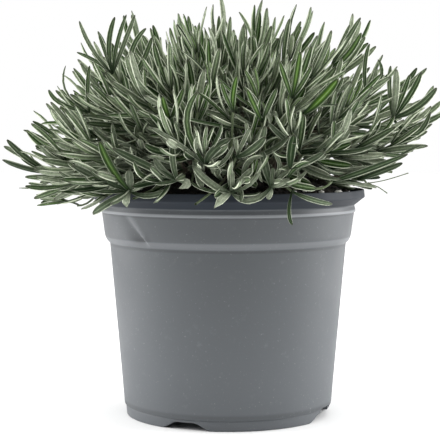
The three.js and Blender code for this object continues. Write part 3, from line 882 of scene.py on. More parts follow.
def placed_leaf(random, heart, middle, tip, width, felt, youth=0, face=OUT):
    """A leaf of a sprig, which lies where it is placed."""
    looks = looks_of(random, youth)
    looks["sway"] = 0
    looks["twist"] *= PLACED["twist"]
    looks["tint"] *= PLACED["tint"]
    looks["felt"] = felt * PLACED["felt"]
    looks["point"] = float(felt > POINTED_FELT)
    return {"foot": heart, "middle": middle, "tip": tip, "width": width, "face": face, "turn": 0, **looks}


def sprig_stem(heart, trunk):
    """A side stem from a shoot to the heart of a sprig."""
    heart = np.array(heart, dtype=float)
    start = trunk.point_at(SPRIG_START)
    return bent(start, trunk.tangent_at(SPRIG_START), 1 / 3, heart, unit(heart - start), 1 / 3)


# Meshes


def piece_of(name, points, faces, material, node=None, attributes=()):
    """A piece of the plant or pot, from points in millimetres, that rides on the part."""
    mesh = bpy.data.meshes.new(name)
    mesh.from_pydata((points * MM).tolist(), [], faces)
    mesh.shade_smooth()
    for key, values in dict(attributes).items():
        layer = mesh.attributes.new(key, "FLOAT", "POINT")
        layer.data.foreach_set("value", values.astype(np.float32))
    mesh.materials.append(material)
    piece = bpy.data.objects.new(name, mesh)
    bpy.context.scene.collection.objects.link(piece)
    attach(piece, "root")
    if node:
        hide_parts(node)
    return piece


class Heap:
    """Points, faces and attributes that are gathered into one piece."""

    def __init__(self):
        self.points = []
        self.faces = []
        self.values = {}
        self.count = 0

    def add(self, points, faces, **values):
        self.points.append(points)
        self.faces.extend((faces + self.count).tolist())
        for key, value in values.items():
            self.values.setdefault(key, []).append(np.broadcast_to(value, len(points)))
        self.count += len(points)

    def piece(self, name, material, slot, node=None):
        attributes = {key: np.concatenate(values) for key, values in self.values.items()}
        return piece_of(name, np.concatenate(self.points), self.faces, material, node, attributes)


def skin_faces(rings, sides):
    """Four-sided faces between rings of points."""
    i, j = np.meshgrid(np.arange(rings - 1), np.arange(sides), indexing="ij")
    low = i * sides + j
    low_next = i * sides + (j + 1) % sides
    return np.stack([low, low_next, low_next + sides, low + sides], axis=-1).reshape(-1, 4)


def rounded(corners):
    """A line through corners, each a radius, a height and how far off it starts to be rounded."""
    line = []
    for i, (radius, height, rounding) in enumerate(corners):
        here = np.array([radius, height], dtype=float)
        if rounding == 0:
            line.append(here)
            continue
        before = np.array(corners[i - 1][:2]) - here
        after = np.array(corners[i + 1][:2]) - here
        start = here + unit(before) * min(rounding, MOST_ROUNDED * np.linalg.norm(before))
        end = here + unit(after) * min(rounding, MOST_ROUNDED * np.linalg.norm(after))
        for k in range(ROUNDING_STEPS + 1):
            t = k / ROUNDING_STEPS
            line.append((1 - t) ** 2 * start + 2 * t * (1 - t) * here + t * t * end)
    return line


def divided(line, step):
    """The same line with no stretch longer than a step."""
    points = [line[0]]
    for before, after in zip(line, line[1:]):
        count = max(1, math.ceil(np.linalg.norm(after - before) / step))
        points.extend(before + (after - before) * (k + 1) / count for k in range(count))
    return np.array(points)


def turned(line):
    """Rings of points, one for each point of the line, turned round the pot's axis."""
    azimuths = np.arange(POT_SIDES) / POT_SIDES * 2 * math.pi
    radius, height = line[:, :1], line[:, 1:]
    x = radius * np.sin(azimuths)
    z = np.broadcast_to(height, x.shape)
    return np.stack([x, -radius * np.cos(azimuths), z], axis=-1).reshape(-1, 3)


# The pot


def pot_line():
    """The pot's section from the middle of its underside round its lip to the middle of its floor."""
    lip_foot = POT_HEIGHT - LIP_HEIGHT
    inner_foot = FOOT_RADIUS - FOOT_WIDTH
    lip_top = RIM_RADIUS - LIP_DRAFT
    corners = [
        (0, FLOOR_UNDERSIDE, 0),
        (inner_foot, FLOOR_UNDERSIDE, 0.6),
        (inner_foot, 0, 0.5),
        (FOOT_RADIUS, 0, 0.9),
        (FOOT_BAND_RADIUS, FOOT_BAND_HEIGHT - 0.8, 0.4),
        (FOOT_BAND_RADIUS - 0.25, FOOT_BAND_HEIGHT, 0.3),
        (BODY_FOOT_RADIUS - 0.3, FOOT_BAND_HEIGHT + 0.2, 0.3),
        (BODY_FOOT_RADIUS, BODY_FOOT_HEIGHT + 0.4, 0.6),
        (BODY_TOP_RADIUS, BODY_TOP_HEIGHT - 0.6, 1.0),
        (BODY_TOP_RADIUS + STEP_ROUNDING, BODY_TOP_HEIGHT + 1.5, 1.4),
        (COLLAR_FOOT_RADIUS, COLLAR_FOOT_HEIGHT, 1.2),
        (COLLAR_TOP_RADIUS - 0.2, COLLAR_TOP_HEIGHT - 0.6, 0.4),
        (COLLAR_TOP_RADIUS + BEAD_PROUD, COLLAR_TOP_HEIGHT, 0.5),
        (COLLAR_TOP_RADIUS + BEAD_PROUD, COLLAR_TOP_HEIGHT + BEAD_WIDTH, 0.8),
        (NECK_RADIUS - 0.3, NECK_HEIGHT + 0.2, 0.4),
        (RIM_RADIUS - 1.6, lip_foot - 0.9, 0.8),
        (RIM_RADIUS, lip_foot + 0.2, 0.7),
        (lip_top, POT_HEIGHT, EDGE_ROUNDING),
        (lip_top - WALL, POT_HEIGHT, 0.5),
        (lip_top - WALL, lip_foot + WALL, 0.8),
        (NECK_RADIUS - WALL, NECK_HEIGHT + WALL, 0.8),
        (COLLAR_TOP_RADIUS - WALL, COLLAR_TOP_HEIGHT, 0),
        (COLLAR_FOOT_RADIUS - WALL, COLLAR_FOOT_HEIGHT, 0),
        (BODY_TOP_RADIUS - WALL, BODY_TOP_HEIGHT, 0),
        (BODY_FOOT_RADIUS - WALL, BODY_FOOT_HEIGHT, 0),
        (BODY_FOOT_RADIUS - 2 * WALL, FLOOR_TOP, 0),
        (0, FLOOR_TOP, 0),
    ]
    return divided(rounded(corners), POT_RING_STEP)


def dent_offset(azimuth, height):
    """How far the collar is pushed in: a fold with a sharp right side and a long left one."""
    rise = (height - BODY_TOP_HEIGHT) / (COLLAR_TOP_HEIGHT - BODY_TOP_HEIGHT)
    depth = DENT["depth"] * np.clip(rise / DENT["roll_in"], 0, 1) * np.clip(1 - rise, 0, 1)
    crease, steep, span = (mix(*DENT[key], np.clip(rise, 0, 1)) for key in ("crease", "steep", "span"))
    left = crease - azimuth / DEGREE
    fall = smooth_step(0, steep, left) * (1 - smooth_step(steep, span, left))
    ridge = DENT["ridge"] * np.exp(-(((left + DENT["ridge_place"]) / DENT["ridge_half"]) ** 2))
    return depth * (ridge - fall)


def notch_rise(azimuth, notch):
    """How far the foot's edge is raised at an azimuth by a notch."""
    rise = 0
    for middle in notch["azimuths"]:
        away = np.abs((azimuth / DEGREE - middle + 180) % 360 - 180)
        rise = rise + NOTCH_HEIGHT * (1 - smooth_step(notch["top_span"] / 2, notch["foot_span"] / 2, away))
    return rise


def pot_skin():
    """The turned section with the dent in its collar and the notches in its foot."""
    line = pot_line()
    points = turned(line)
    azimuth = np.arctan2(points[:, 0], -points[:, 1])
    height = points[:, 2]
    radius = np.hypot(points[:, 0], points[:, 1]) + dent_offset(azimuth, height)
    rise = notch_rise(azimuth, NARROW_NOTCH) + notch_rise(azimuth, WIDE_NOTCH)
    foot = (radius > FOOT_RADIUS - FOOT_WIDTH - 1) & (height < FLOOR_UNDERSIDE)
    squeezed = rise + height * (1 - rise / FLOOR_UNDERSIDE)
    height = np.where(foot, np.maximum(height, squeezed), height)
    moved = np.stack([radius * np.sin(azimuth), -radius * np.cos(azimuth), height], axis=-1)
    return moved, skin_faces(len(line), POT_SIDES)


def make_cutters():
    """The drain slots at the wide notches and the drain holes in the floor, as one object."""
    whole = bmesh.new()
    for azimuth in WIDE_NOTCH["azimuths"]:
        turn = (azimuth + SLOT["turn"]) * DEGREE
        for vertex in bmesh.ops.create_cube(whole, size=1)["verts"]:
            across = Vector(across_azimuth(turn)) * (vertex.co.x * SLOT["width"])
            radius = SLOT["inner"] if vertex.co.y > 0 else SLOT["outer"]
            height = SLOT["top"] if vertex.co.z > 0 else SLOT["foot"]
            vertex.co = Vector(at_azimuth(turn, 1, 0)) * radius + across + Vector((0, 0, height))
    hole = {"radius1": DRAIN_HOLE["radius"], "radius2": DRAIN_HOLE["radius"], "depth": 2 * FLOOR_TOP}
    for i in range(DRAIN_HOLE["count"]):
        middle = at_azimuth((i + 0.5) / DRAIN_HOLE["count"] * 2 * math.pi, DRAIN_HOLE["ring"], FLOOR_TOP)
        made = bmesh.ops.create_cone(whole, cap_ends=True, segments=DRAIN_HOLE["sides"], **hole)
        bmesh.ops.translate(whole, verts=made["verts"], vec=Vector(middle))
    bmesh.ops.scale(whole, vec=(MM, MM, MM), verts=whole.verts)
    bmesh.ops.recalc_face_normals(whole, faces=whole.faces)
    mesh = bpy.data.meshes.new("cutters")
    whole.to_mesh(mesh)
    whole.free()
    cutters = bpy.data.objects.new("cutters", mesh)
    bpy.context.scene.collection.objects.link(cutters)
    return cutters


def cut(piece, cutters):
    modifier = piece.modifiers.new("cut", "BOOLEAN")
    modifier.operation = "DIFFERENCE"
    modifier.solver = "EXACT"
    modifier.object = cutters
    graph = bpy.context.evaluated_depsgraph_get()
    result = bpy.data.meshes.new_from_object(piece.evaluated_get(graph))
    piece.modifiers.clear()
    piece.data = result
    bpy.data.objects.remove(cutters)


def weld_middles(mesh):
    """Joins the points at the axis, where a whole ring is one place."""
    work = bmesh.new()
    work.from_mesh(mesh)
    bmesh.ops.remove_doubles(work, verts=work.verts, dist=WELD * MM)
    bmesh.ops.recalc_face_normals(work, faces=work.faces)
    work.to_mesh(mesh)
    work.free()


def make_pot(material):
    points, faces = pot_skin()
    pot = piece_of("pot_shell", points, faces.tolist(), material, "pot")
    weld_middles(pot.data)
    cut(pot, make_cutters())
    pot.data.shade_smooth()
    pot.data.set_sharp_from_angle(angle=POT_SHARP_ANGLE)


# The potting mix


def noise_at(points, size, offset):
    """Smooth noise from -1 to 1 at points, with lumps of a size."""
    shift = Vector((offset, offset, offset))
    return np.array([noise.noise(Vector(p) / size + shift) for p in points])


def make_soil(material):
    """The heap, rough as damp peat is, on a plain body that fills the pot."""
    bottom = FLOOR_TOP + SOIL_WALL_GAP
    inside = WALL + SOIL_WALL_GAP
    body = [
        (0, bottom),
        (BODY_FOOT_RADIUS - WALL - inside, bottom),
        (BODY_TOP_RADIUS - inside, BODY_TOP_HEIGHT),
        (COLLAR_FOOT_RADIUS - inside - DENT["depth"], COLLAR_FOOT_HEIGHT),
        (COLLAR_TOP_RADIUS - inside - DENT["depth"], COLLAR_TOP_HEIGHT),
        (SOIL_EDGE_RADIUS, SOIL_EDGE),
    ]
    top = [(share * SOIL_EDGE_RADIUS, 0) for share in np.linspace(1, 0, SOIL_HEAP_RINGS)[1:]]
    heap = turned(np.array(top))
    rough = sum(noise_at(heap, size, offset) * height for size, offset, height in SOIL_ROUGH)
    heap[:, 2] = heap_height(heap[:, 0], heap[:, 1]) + rough
    points = np.concatenate([turned(np.array(body, dtype=float)), heap])
    faces = skin_faces(len(body) + len(top), POT_SIDES)
    soil = piece_of("peat_heap", points, faces.tolist(), material, "potting_soil")
    weld_middles(soil.data)


def grain(random, size, roughness):
    """A rough crumb: a ball of a few faces with its points moved in and out."""
    ball = bmesh.new()
    bmesh.ops.create_icosphere(ball, subdivisions=2, radius=1)
    points = np.array([v.co for v in ball.verts])
    faces = np.array([[v.index for v in f.verts] for f in ball.faces])
    ball.free()
    stretch = np.array([mix(*limits, random()) for limits in GRAIN_STRETCH])
    bumps = np.array([mix(1 - roughness, 1 + roughness, random()) for _ in points])
    return points * bumps[:, None] * stretch * size, faces


def make_grains(name, material, random, count, sizes, roughness, lift, places):
    """Grains that lie on the heap, with the listed places first."""
    store = Heap()
    for i in range(count + len(places)):
        points, faces = grain(random, mix(*sizes, random() ** 2), roughness)
        azimuth = random() * 2 * math.pi
        spot = at_azimuth(azimuth, SOIL_EDGE_RADIUS * math.sqrt(random()) * GRAIN_REACH, 0)
        if i < len(places):
            spot = np.array([*places[i][:2], 0])
            points = points * places[i][2] / np.abs(points).max()
        spot[2] = heap_height(spot[0], spot[1]) + np.abs(points[:, 2]).max() * lift
        store.add(points + spot, faces, tint=random())
    store.piece(name, material, "potting_mix")


# Leaves and stems


def mirrored(half):
    """A line of points from one side to the middle, carried on to the other side."""
    return half + [(-x, height) for x, height in half[-2::-1]]


BLADE_SECTION = np.array([p for half in (BLADE_TOP, BLADE_BOTTOM) for p in mirrored(half)])
SECTION_COUNT = len(BLADE_SECTION)
BLADE_SKIN = skin_faces(len(BLADE_RINGS), SECTION_COUNT)
ACROSS = np.tile(BLADE_SECTION[:, 0], len(BLADE_RINGS))
ALONG = np.repeat(BLADE_RINGS, SECTION_COUNT)
UNDER = np.tile((np.arange(SECTION_COUNT) >= len(mirrored(BLADE_TOP))).astype(float), len(BLADE_RINGS))


def half_width(s, point):
    """The outline of a leaf: narrow at its foot, widest past its middle, with a blunt or pointed tip."""
    rise = np.sin(math.pi / 2 * np.minimum(1, s / LEAF_BELLY)) ** LEAF_ROUNDING["foot"]
    tip = np.maximum(0, (s - LEAF_SHOULDER) / (1 - LEAF_SHOULDER))
    blunt = (1 - tip ** LEAF_ROUNDING["shoulder"]) ** LEAF_ROUNDING["tip"]
    return (LEAF_FOOT + (1 - LEAF_FOOT) * rise) * mix(blunt, 1 - tip, point)


def placed_line(leaf, s):
    """Points of the middle line of a placed leaf, with the ways that its face and its span look."""
    foot, middle, tip, face = (np.array(leaf[key], dtype=float) for key in ("foot", "middle", "tip", "face"))
    bend = 2 * middle - (foot + tip) / 2
    s = s[:, None]
    points = (1 - s) ** 2 * foot + 2 * s * (1 - s) * bend + s**2 * tip
    heading = (1 - s) * (bend - foot) + s * (tip - bend)
    heading = heading / np.linalg.norm(heading, axis=1)[:, None]
    span = np.cross(face, heading)
    span = span / np.linalg.norm(span, axis=1)[:, None]
    return points, np.cross(heading, span), span


def blade(leaf):
    s = BLADE_RINGS
    if "foot" in leaf:
        points, faces, span = placed_line(leaf, s)
    else:
        points, faces = leaf_line(leaf, s)
        span = np.cross(leaf["forward"], leaf["outward"])
    twist = leaf["twist"] * s[:, None]
    across = span * np.cos(twist) + faces * np.sin(twist)
    normals = faces * np.cos(twist) - span * np.sin(twist)
    half = half_width(s, leaf["point"]) * leaf["width"] / 2 * FINE_WIDTH
    thickness = (1 - THIN_TIP["by"] * smooth_step(THIN_TIP["from"], 1, s)) * mix(THIN_FOOT, 1, s)
    fold = np.abs(BLADE_SECTION[:, 0]) * leaf["fold"]
    wave = leaf["wave"] * np.sin(s * LEAF_WAVES + leaf["turn"])
    points = points + across * (leaf["sway"] * s**2)[:, None]
    sideways = BLADE_SECTION[None, :, 0] * half[:, None]
    height = BLADE_SECTION[None, :, 1] * thickness[:, None] + fold[None, :] * half[:, None] + wave[:, None]
    skin = points[:, None, :] + across[:, None, :] * sideways[..., None]
    return (skin + normals[:, None, :] * height[..., None]).reshape(-1, 3)


def add_leaf(store, leaf):
    """Adds a leaf's skin, closed at its foot and its tip."""
    skin = blade(leaf)
    # Painted light: the higher the leaf's tip, the brighter its tone
    tint = leaf["tint"] + HIGH_PAINTED_LIGHT * smooth_step(*HIGH_LEAVES, skin[-1][2])
    looks = {"tint": tint, "youth": leaf["youth"], "felt": leaf["felt"]}
    store.add(skin, BLADE_SKIN, across=ACROSS, along=ALONG, under=UNDER, **looks)
    ends = list(range(SECTION_COUNT))
    store.faces.append([store.count - len(ALONG) + i for i in reversed(ends)])
    store.faces.append([store.count - SECTION_COUNT + i for i in ends])


def add_stem(store, curve, halves, sunk=0, side=(0.3, 0.2, 1.0)):
    """A square stem with rounded corners along a curve, thicker where its leaves start."""
    count = max(STEM_LEAST_RINGS, math.ceil(curve.length / STEM_RING_STEP))
    turns = (np.arange(STEM_CORNERS) + 0.5) / STEM_CORNERS * 2 * math.pi
    rings, along = [], []
    for i in range(count + 1):
        t = i / count
        centre = curve.point_at(t)
        forward = curve.tangent_at(t)
        first = unit(np.cross(forward, side))
        star = first * np.cos(turns)[:, None] + np.cross(forward, first) * np.sin(turns)[:, None]
        star = star * mix(*halves, t)
        swell = max(0, math.cos(2 * math.pi * (1 - t) * curve.length / PAIR_SPACING)) ** STEM_NODE_POWER
        if i == 0 and sunk:
            rings.append(centre - forward * sunk + star)
            along.append(t)
        rings.append(centre + star * (1 + STEM_NODE_SWELL * swell))
        along.append(t)
    faces = skin_faces(len(rings), STEM_CORNERS)
    store.add(np.concatenate(rings), faces, along=np.repeat(along, STEM_CORNERS))


def grown_stems():
    """Every stem with its leaves and branches. The order of the steps keeps the order of the random draws."""
    random = seeded_numbers(PLANT_SEED)
    stems = [stem_of(reach) for reach in shoot_reaches(random)]
    room = Room()
    lay_leaves(stems, room, random)
    random = seeded_numbers(FINER_SEED)
    grow_branches(stems, random)
    for stem in stems:
        for branch in stem["branches"]:
            room.add(*stem_room(branch), ANY_OWNER)
    for stem in stems:
        for leaf in stem["leaves"]:
            leaf.update(looks_of(random, OWN_YOUTH - leaf["age"] * OWN_YOUTH_FALL))
    for stem in stems:
        stem["phase"] = random() * math.pi
        fill_tuft(stem, STEM_PAIRS, stem["leaves"], room, random)
        for branch in stem["branches"]:
            fill_tuft(branch, BRANCH_PAIRS, stem["leaves"], room, random)
    for shoot, heart, leaves in SPRIGS:
        stems[shoot]["leaves"].extend(placed_leaf(random, heart, *leaf) for leaf in leaves)
    return stems


def wood_of(owner, stem):
    """A stem with its side branches, and the sprigs and dry stalks that it bears."""
    wood = Heap()
    add_stem(wood, stem["curve"], STEM_HALVES, STEM_HOLE_DEPTH, stem["side"])
    curves = [branch["curve"] for branch in stem["branches"]]
    curves += [sprig_stem(heart, stem["curve"]) for shoot, heart, _ in SPRIGS if shoot == owner]
    for curve in curves:
        add_stem(wood, curve, BRANCH_HALVES)
    for shoot, foot, middle, tip in DRY_STALKS:
        if shoot == owner:
            add_stem(wood, Curve(foot, middle, middle, tip), STALK_HALVES)
    return wood


def make_shoots(leaf_material, stem_material):
    for owner, stem in enumerate(grown_stems()):
        name = f"leafy_stem_{owner + 1:02d}"
        foliage = Heap()
        for leaf in stem["leaves"]:
            add_leaf(foliage, leaf)
        foliage.piece(f"{name}_leaves", leaf_material, "foliage", name)
        wood_of(owner, stem).piece(f"{name}_stem", stem_material, "foliage", name)


# Materials, with the sizes of their noise and bumps in millimetres. A step or a linear run is given
# where it starts and ends, then what it gives at each.


class Graph:
    """Short hands for building the nodes of a material or a world."""

    def __init__(self, holder):
        self.holder = holder
        holder.use_nodes = True
        self.tree = holder.node_tree

    def node(self, kind, output, inputs=(), **settings):
        """The named output of a new node, whose inputs are set or linked."""
        made = self.tree.nodes.new(kind)
        for key, value in settings.items():
            setattr(made, key, value)
        self.fill(made, inputs)
        return made.outputs[output]

    def fill(self, node, inputs):
        """Sets or links inputs of a node. A value of three numbers is a colour."""
        for key, value in dict(inputs).items():
            socket = node.inputs[key]
            if isinstance(value, bpy.types.NodeSocket):
                self.tree.links.new(value, socket)
            else:
                socket.default_value = (*value, 1.0) if isinstance(value, tuple) else value

    def attribute(self, name):
        return self.node("ShaderNodeAttribute", "Fac", attribute_name=name)

    def place(self):
        return self.node("ShaderNodeTexCoord", "Object")

    def axis(self, name):
        return self.node("ShaderNodeSeparateXYZ", name, {0: self.place()})

    def math(self, operation, *values):
        return self.node("ShaderNodeMath", 0, enumerate(values), operation=operation)

    def times(self, *values):
        return self.math("MULTIPLY", *values)

    def apart(self, a, b):
        return self.math("ABSOLUTE", self.math("SUBTRACT", a, b))

    def stepped(self, value, low, high, start=0.0, end=1.0, kind="SMOOTHSTEP"):
        """A smooth step from start to end as a value goes from low to high."""
        inputs = {"Value": value, "From Min": low, "From Max": high, "To Min": start, "To Max": end}
        return self.node("ShaderNodeMapRange", "Result", inputs, interpolation_type=kind)

    def linear(self, *values):
        """A straight and clamped run instead of a smooth step."""
        return self.stepped(*values, kind="LINEAR")

    def band(self, height, middle, half, fade):
        """One within half a width of a height, fading to nothing past it."""
        return self.stepped(self.apart(height, middle * MM), half * MM, fade * MM, 1, 0)

    def noise(self, size, detail=3.0, roughness=0.5):
        """Noise from 0 to 1 whose lumps are of a size."""
        inputs = {"Vector": self.place(), "Scale": 1 / (size * MM), "Detail": detail, "Roughness": roughness}
        return self.node("ShaderNodeTexNoise", "Fac", inputs)

    def mixed(self, share, first, second):
        inputs = {"Factor": share, "A": first, "B": second}
        return self.node("ShaderNodeMix", "Result", inputs, data_type="RGBA")

    def finished(self, bump=None, **inputs):
        """The material, with its shader's inputs and its bump: its source, its strength and its distance."""
        shader = self.tree.nodes["Principled BSDF"]
        self.fill(shader, {key.replace("_", " "): value for key, value in inputs.items()})
        if bump:
            height, strength, distance = bump
            relief = {"Height": height, "Strength": strength, "Distance": distance * MM}
            self.fill(shader, {"Normal": self.node("ShaderNodeBump", "Normal", relief)})
        return self.holder


def look(name):
    return Graph(bpy.data.materials.new(name))


def dent_highlight_and_shade(g):
    """The painted highlight along the crease of the dent, and the painted shade in the hollow beside it."""
    azimuth = g.math("ARCTAN2", g.axis("X"), g.times(g.axis("Y"), -1.0))
    rise = g.linear(g.axis("Z"), BODY_TOP_HEIGHT * MM, COLLAR_TOP_HEIGHT * MM, 0, 1)
    crease = g.linear(rise, 0, 1, DENT["crease"][0] * DEGREE, DENT["crease"][1] * DEGREE)
    left = g.math("DIVIDE", g.math("SUBTRACT", crease, azimuth), DEGREE)
    inside = g.times(g.stepped(rise, 0.12, 0.2), g.stepped(rise, 0.92, 1.0, 1, 0))
    streak_width = g.linear(rise, 0.1, 0.7, 1.2, 4.4)
    streak = g.stepped(g.math("DIVIDE", g.apart(left, 0.7), streak_width), 0, 1, 1, 0)
    hollow = g.times(g.stepped(left, 1.2, 2.4), g.stepped(left, 3.0, 12.0, 1, 0))
    hollow_depth = g.linear(rise, 0.1, 0.6, 0.5, 0.12)
    return g.times(g.times(streak, inside), 0.16), g.times(g.times(hollow, inside), hollow_depth)


def plastic():
    """Matte blue-grey plastic, with faint flecks and scuffs and a soft grain, and painted light and shade:
    painted shade darkening it towards the collar, in lines under the bead, under the step and over the foot,
    and in the dent's hollow; painted highlights on the bead, on the step and along the dent's crease; and a
    lip that is partly its own darker navy and partly painted shade.
    """
    g = look("pot_plastic_look")
    height = g.axis("Z")
    cloudy = g.noise(38, 3)
    flecks = g.stepped(g.noise(1.6, 2, 0.6), 0.64, 0.8, 0, 0.24)
    scuffs = g.stepped(g.noise(9, 4, 0.65), 0.6, 0.78)
    body = g.mixed(cloudy, POT_COLOR_LOW, POT_COLOR_HIGH)
    body = g.mixed(flecks, body, POT_FLECK)
    body = g.mixed(g.times(scuffs, 0.1), body, POT_SCUFF)
    # Painted shade: the body darkens from near its foot up to the collar, under the overhanging foliage
    body = g.mixed(g.stepped(height, 10 * MM, COLLAR_TOP_HEIGHT * MM, 1.0, 0.72), BLACK, body)
    # Painted shade: dark lines under the bead, under the step and over the foot band
    under_bead = g.band(height, COLLAR_TOP_HEIGHT - 0.9, 0.2, 1.1)
    under_step = g.band(height, BODY_TOP_HEIGHT - 1.6, 0.2, 1.4)
    over_foot = g.band(height, BODY_FOOT_HEIGHT + 0.8, 0.4, 2.6)
    painted_shade_lines = g.math("MAXIMUM", g.math("MAXIMUM", under_bead, under_step), over_foot)
    body = g.mixed(g.times(painted_shade_lines, 0.25), body, BLACK)
    # Painted highlight along the bead
    bead = g.band(height, COLLAR_TOP_HEIGHT + BEAD_WIDTH / 2, 0.6, 1.3)
    body = g.mixed(g.times(bead, 0.34), body, BEAD_HIGHLIGHT)
    # Painted highlight on the step, where it faces the bright floor
    step = g.band(height, BODY_TOP_HEIGHT + 1.8, 1.5, 2.7)
    body = g.mixed(g.times(step, 0.18), body, POT_HIGHLIGHT)
    # Painted highlight along the dent's crease and painted shade in its hollow
    pale, dim = dent_highlight_and_shade(g)
    body = g.mixed(dim, g.mixed(pale, body, POT_HIGHLIGHT), BLACK)
    # The lip: partly its own darker navy tone, partly painted shade under the foliage
    lip = g.stepped(height, (NECK_HEIGHT + 0.2) * MM, (NECK_HEIGHT + 1.5) * MM)
    body = g.mixed(lip, body, g.mixed(cloudy, LIP_TONE_AND_SHADE_LOW, LIP_TONE_AND_SHADE_HIGH))
    rough = g.math("ADD", g.stepped(cloudy, 0.3, 0.75, 0.46, 0.58), g.times(lip, 0.16))
    grain = g.noise(0.9, 2)
    return g.finished((grain, 0.12, 0.15), Base_Color=body, Roughness=rough, Specular_IOR_Level=0.42)


def peat():
    """Near-black damp peat with brown fibres."""
    g = look("peat_look")
    dark = g.mixed(g.stepped(g.noise(3.2, 5, 0.7), 0.4, 0.7), (0.003, 0.003, 0.0025), (0.014, 0.011, 0.008))
    grit = g.noise(1.2, 4, 0.7)
    return g.finished((grit, 0.9, 1.2), Base_Color=dark, Roughness=0.92, Specular_IOR_Level=0.25)


def crumb():
    """Bits of bark and peat, each with its own brown."""
    g = look("crumb_look")
    brown = g.mixed(g.attribute("tint"), (0.004, 0.0035, 0.003), (0.032, 0.024, 0.016))
    brown = g.mixed(g.stepped(g.noise(1.1, 3), 0.35, 0.7), brown, (0.01, 0.008, 0.006))
    return g.finished((g.noise(0.5, 3), 0.6, 0.4), Base_Color=brown, Roughness=0.9, Specular_IOR_Level=0.3)


def perlite():
    """White popped grains with fine pores."""
    g = look("perlite_look")
    pores = g.noise(0.7, 3)
    white = g.mixed(g.stepped(pores, 0.35, 0.6), (0.42, 0.4, 0.36), (0.86, 0.85, 0.82))
    return g.finished((pores, 0.5, 0.3), Base_Color=white, Roughness=0.8)


def leaf_down(g, across, tint, youth, felt):
    """How much pale down covers a leaf: its margins, its midrib, its underside and its own felt. The down
    follows the leaf's tone, dimmer with its painted shade deep in the dome and brighter with its painted
    light high up.
    """
    under = g.attribute("under")
    margin = g.times(g.stepped(across, 0.72, 0.95, 0, 1.0), g.stepped(youth, 0.5, 1, 1, 0.3))
    rib = g.stepped(across, 0.03, 0.18, 0.24, 0)
    patchy = g.stepped(g.noise(2.2, 3, 0.6), 0.35, 0.65, 0.7, 1.15)
    lines = g.times(g.math("MAXIMUM", margin, rib), patchy)
    upper = g.math("ADD", lines, g.stepped(felt, 0.45, 0.75, 0.0, 0.06))
    lower = g.math("ADD", lines, g.stepped(felt, 0.35, 0.7, 0.03, 0.16))
    sided = g.math("ADD", g.times(lower, under), g.times(upper, g.math("SUBTRACT", 1.0, under)))
    lit = g.times(sided, g.stepped(tint, 0, 0.9, 0.42, 1.3))
    return g.math("MINIMUM", g.math("ADD", lit, g.times(g.attribute("felt"), patchy)), 0.96)


def leaf():
    """Felted lavender leaf: grey-green, with pale margins and midrib and a silvery underside, painted shade
    in the groove beside each margin and towards its foot, and the painted shade and light that its tone
    carries.
    """
    g = look("leaf_look")
    across = g.math("ABSOLUTE", g.attribute("across"))
    along = g.attribute("along")
    tint = g.attribute("tint")
    youth = g.attribute("youth")
    felt = g.noise(0.55, 3, 0.6)
    green = g.mixed(tint, LEAF_DARK, LEAF_GREEN)
    green = g.mixed(g.stepped(youth, 0.25, 0.95), green, LEAF_YOUNG)
    green = g.mixed(g.stepped(g.noise(7, 3), 0.3, 0.75, 0, 0.2), green, LEAF_GREY)
    # Painted shade in the groove beside each rolled margin, darkening the face towards the margins
    green = g.mixed(g.stepped(across, 0.1, 0.5, 0, 0.82), green, LEAF_DARK)
    felted = g.mixed(leaf_down(g, across, tint, youth, felt), green, LEAF_FELT)
    tipped = g.mixed(g.stepped(along, 0.9, 1.0, 0, 0.8), felted, LEAF_TIP)
    # Painted shade towards each leaf's foot
    foot_shaded = g.mixed(g.stepped(along, 0.0, 0.5, 0.9, 0), tipped, LEAF_FOOT_SHADE)
    rough = g.stepped(felt, 0.2, 0.8, 0.62, 0.85)
    sheen = {"Specular_IOR_Level": 0.22, "Sheen_Weight": 0.05, "Sheen_Roughness": 0.45}
    return g.finished((felt, 0.35, 0.25), Base_Color=foot_shaded, Roughness=rough, **sheen)


def bark():
    """Stems: grey-brown and woody low down, grey-green and felted above."""
    g = look("stem_look")
    fibres = g.noise(1.4, 4, 0.65)
    wood = g.mixed(fibres, (0.03, 0.022, 0.015), (0.14, 0.11, 0.08))
    green = g.mixed(fibres, (0.05, 0.08, 0.03), (0.2, 0.24, 0.14))
    stem = g.mixed(g.stepped(g.attribute("along"), 0.15, 0.6), wood, green)
    return g.finished((fibres, 0.5, 0.4), Base_Color=stem, Roughness=0.8)


def pale_floor():
    g = look("floor_look")
    tone = g.mixed(g.noise(160, 2), (0.93, 0.93, 0.93), (0.96, 0.96, 0.96))
    return g.finished(Base_Color=tone, Roughness=0.9, Specular_IOR_Level=0.0)


# The studio


def add_object(name, data):
    made = bpy.data.objects.new(name, data)
    bpy.context.scene.collection.objects.link(made)
    return made


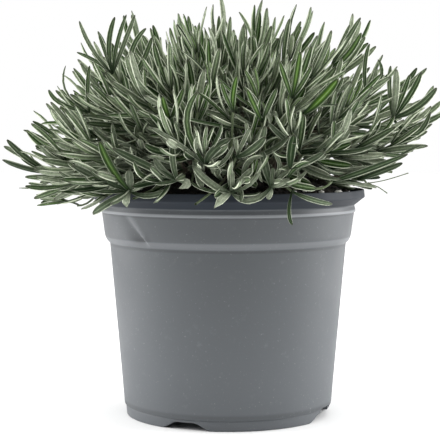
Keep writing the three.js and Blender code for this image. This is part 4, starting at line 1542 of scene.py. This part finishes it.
def make_camera():
    data = bpy.data.cameras.new("camera")
    data.lens = CAMERA["lens"]
    data.sensor_width = CAMERA["sensor"]
    data.clip_end = CAMERA_SIGHT
    camera = add_object("camera", data)
    camera.location = Vector(CAMERA["place"]) * MM
    camera.rotation_euler = (math.pi / 2 - CAMERA["down"] * DEGREE, 0, 0)
    bpy.context.scene.camera = camera


def make_light(name, side):
    data = bpy.data.lights.new(name, "AREA")
    data.shape = "RECTANGLE"
    data.size = LIGHT["size"]
    data.size_y = LIGHT["size"]
    data.energy = LIGHT["power"]
    light = add_object(name, data)
    light.location = (side * LIGHT["side"], LIGHT["back"], LIGHT["height"])
    light.rotation_euler = (Vector(LIGHT["aim"]) - light.location).to_track_quat("-Z", "Y").to_euler()


def make_world():
    """A white room: dim at eye level, bright overhead, and plain white where the camera sees it."""
    world = bpy.data.worlds.new("studio")
    bpy.context.scene.world = world
    g = Graph(world)
    height = g.node("ShaderNodeSeparateXYZ", "Z", {0: g.node("ShaderNodeTexCoord", "Generated")})
    overhead = g.linear(height, *WORLD_BANDS, WORLD_LOW, WORLD_HIGH)
    camera_ray = g.node("ShaderNodeLightPath", "Is Camera Ray")
    seen = g.node("ShaderNodeMix", "Result", {"Factor": camera_ray, "A": overhead, "B": WORLD_SEEN})
    g.fill(g.tree.nodes["Background"], {"Color": WHITE, "Strength": seen})


def make_floor(material):
    mesh = bpy.data.meshes.new("floor")
    corners = [(-1, -1), (1, -1), (1, 1), (-1, 1)]
    mesh.from_pydata([(x * FLOOR_HALF, y * FLOOR_HALF, 0) for x, y in corners], [], [(0, 1, 2, 3)])
    mesh.materials.append(material)
    add_object("floor", mesh)


make_camera()
make_world()
make_floor(pale_floor())
make_light("left_light", -1)
make_light("right_light", 1)
bpy.context.scene.view_settings.view_transform = "Standard"
make_pot(plastic())
make_soil(peat())
grain_numbers = seeded_numbers(GRAIN_SEED)
make_grains("bark_crumbs", crumb(), grain_numbers, **CRUMBS)
make_grains("perlite_grains", perlite(), grain_numbers, **PERLITE)
make_shoots(leaf(), bark())
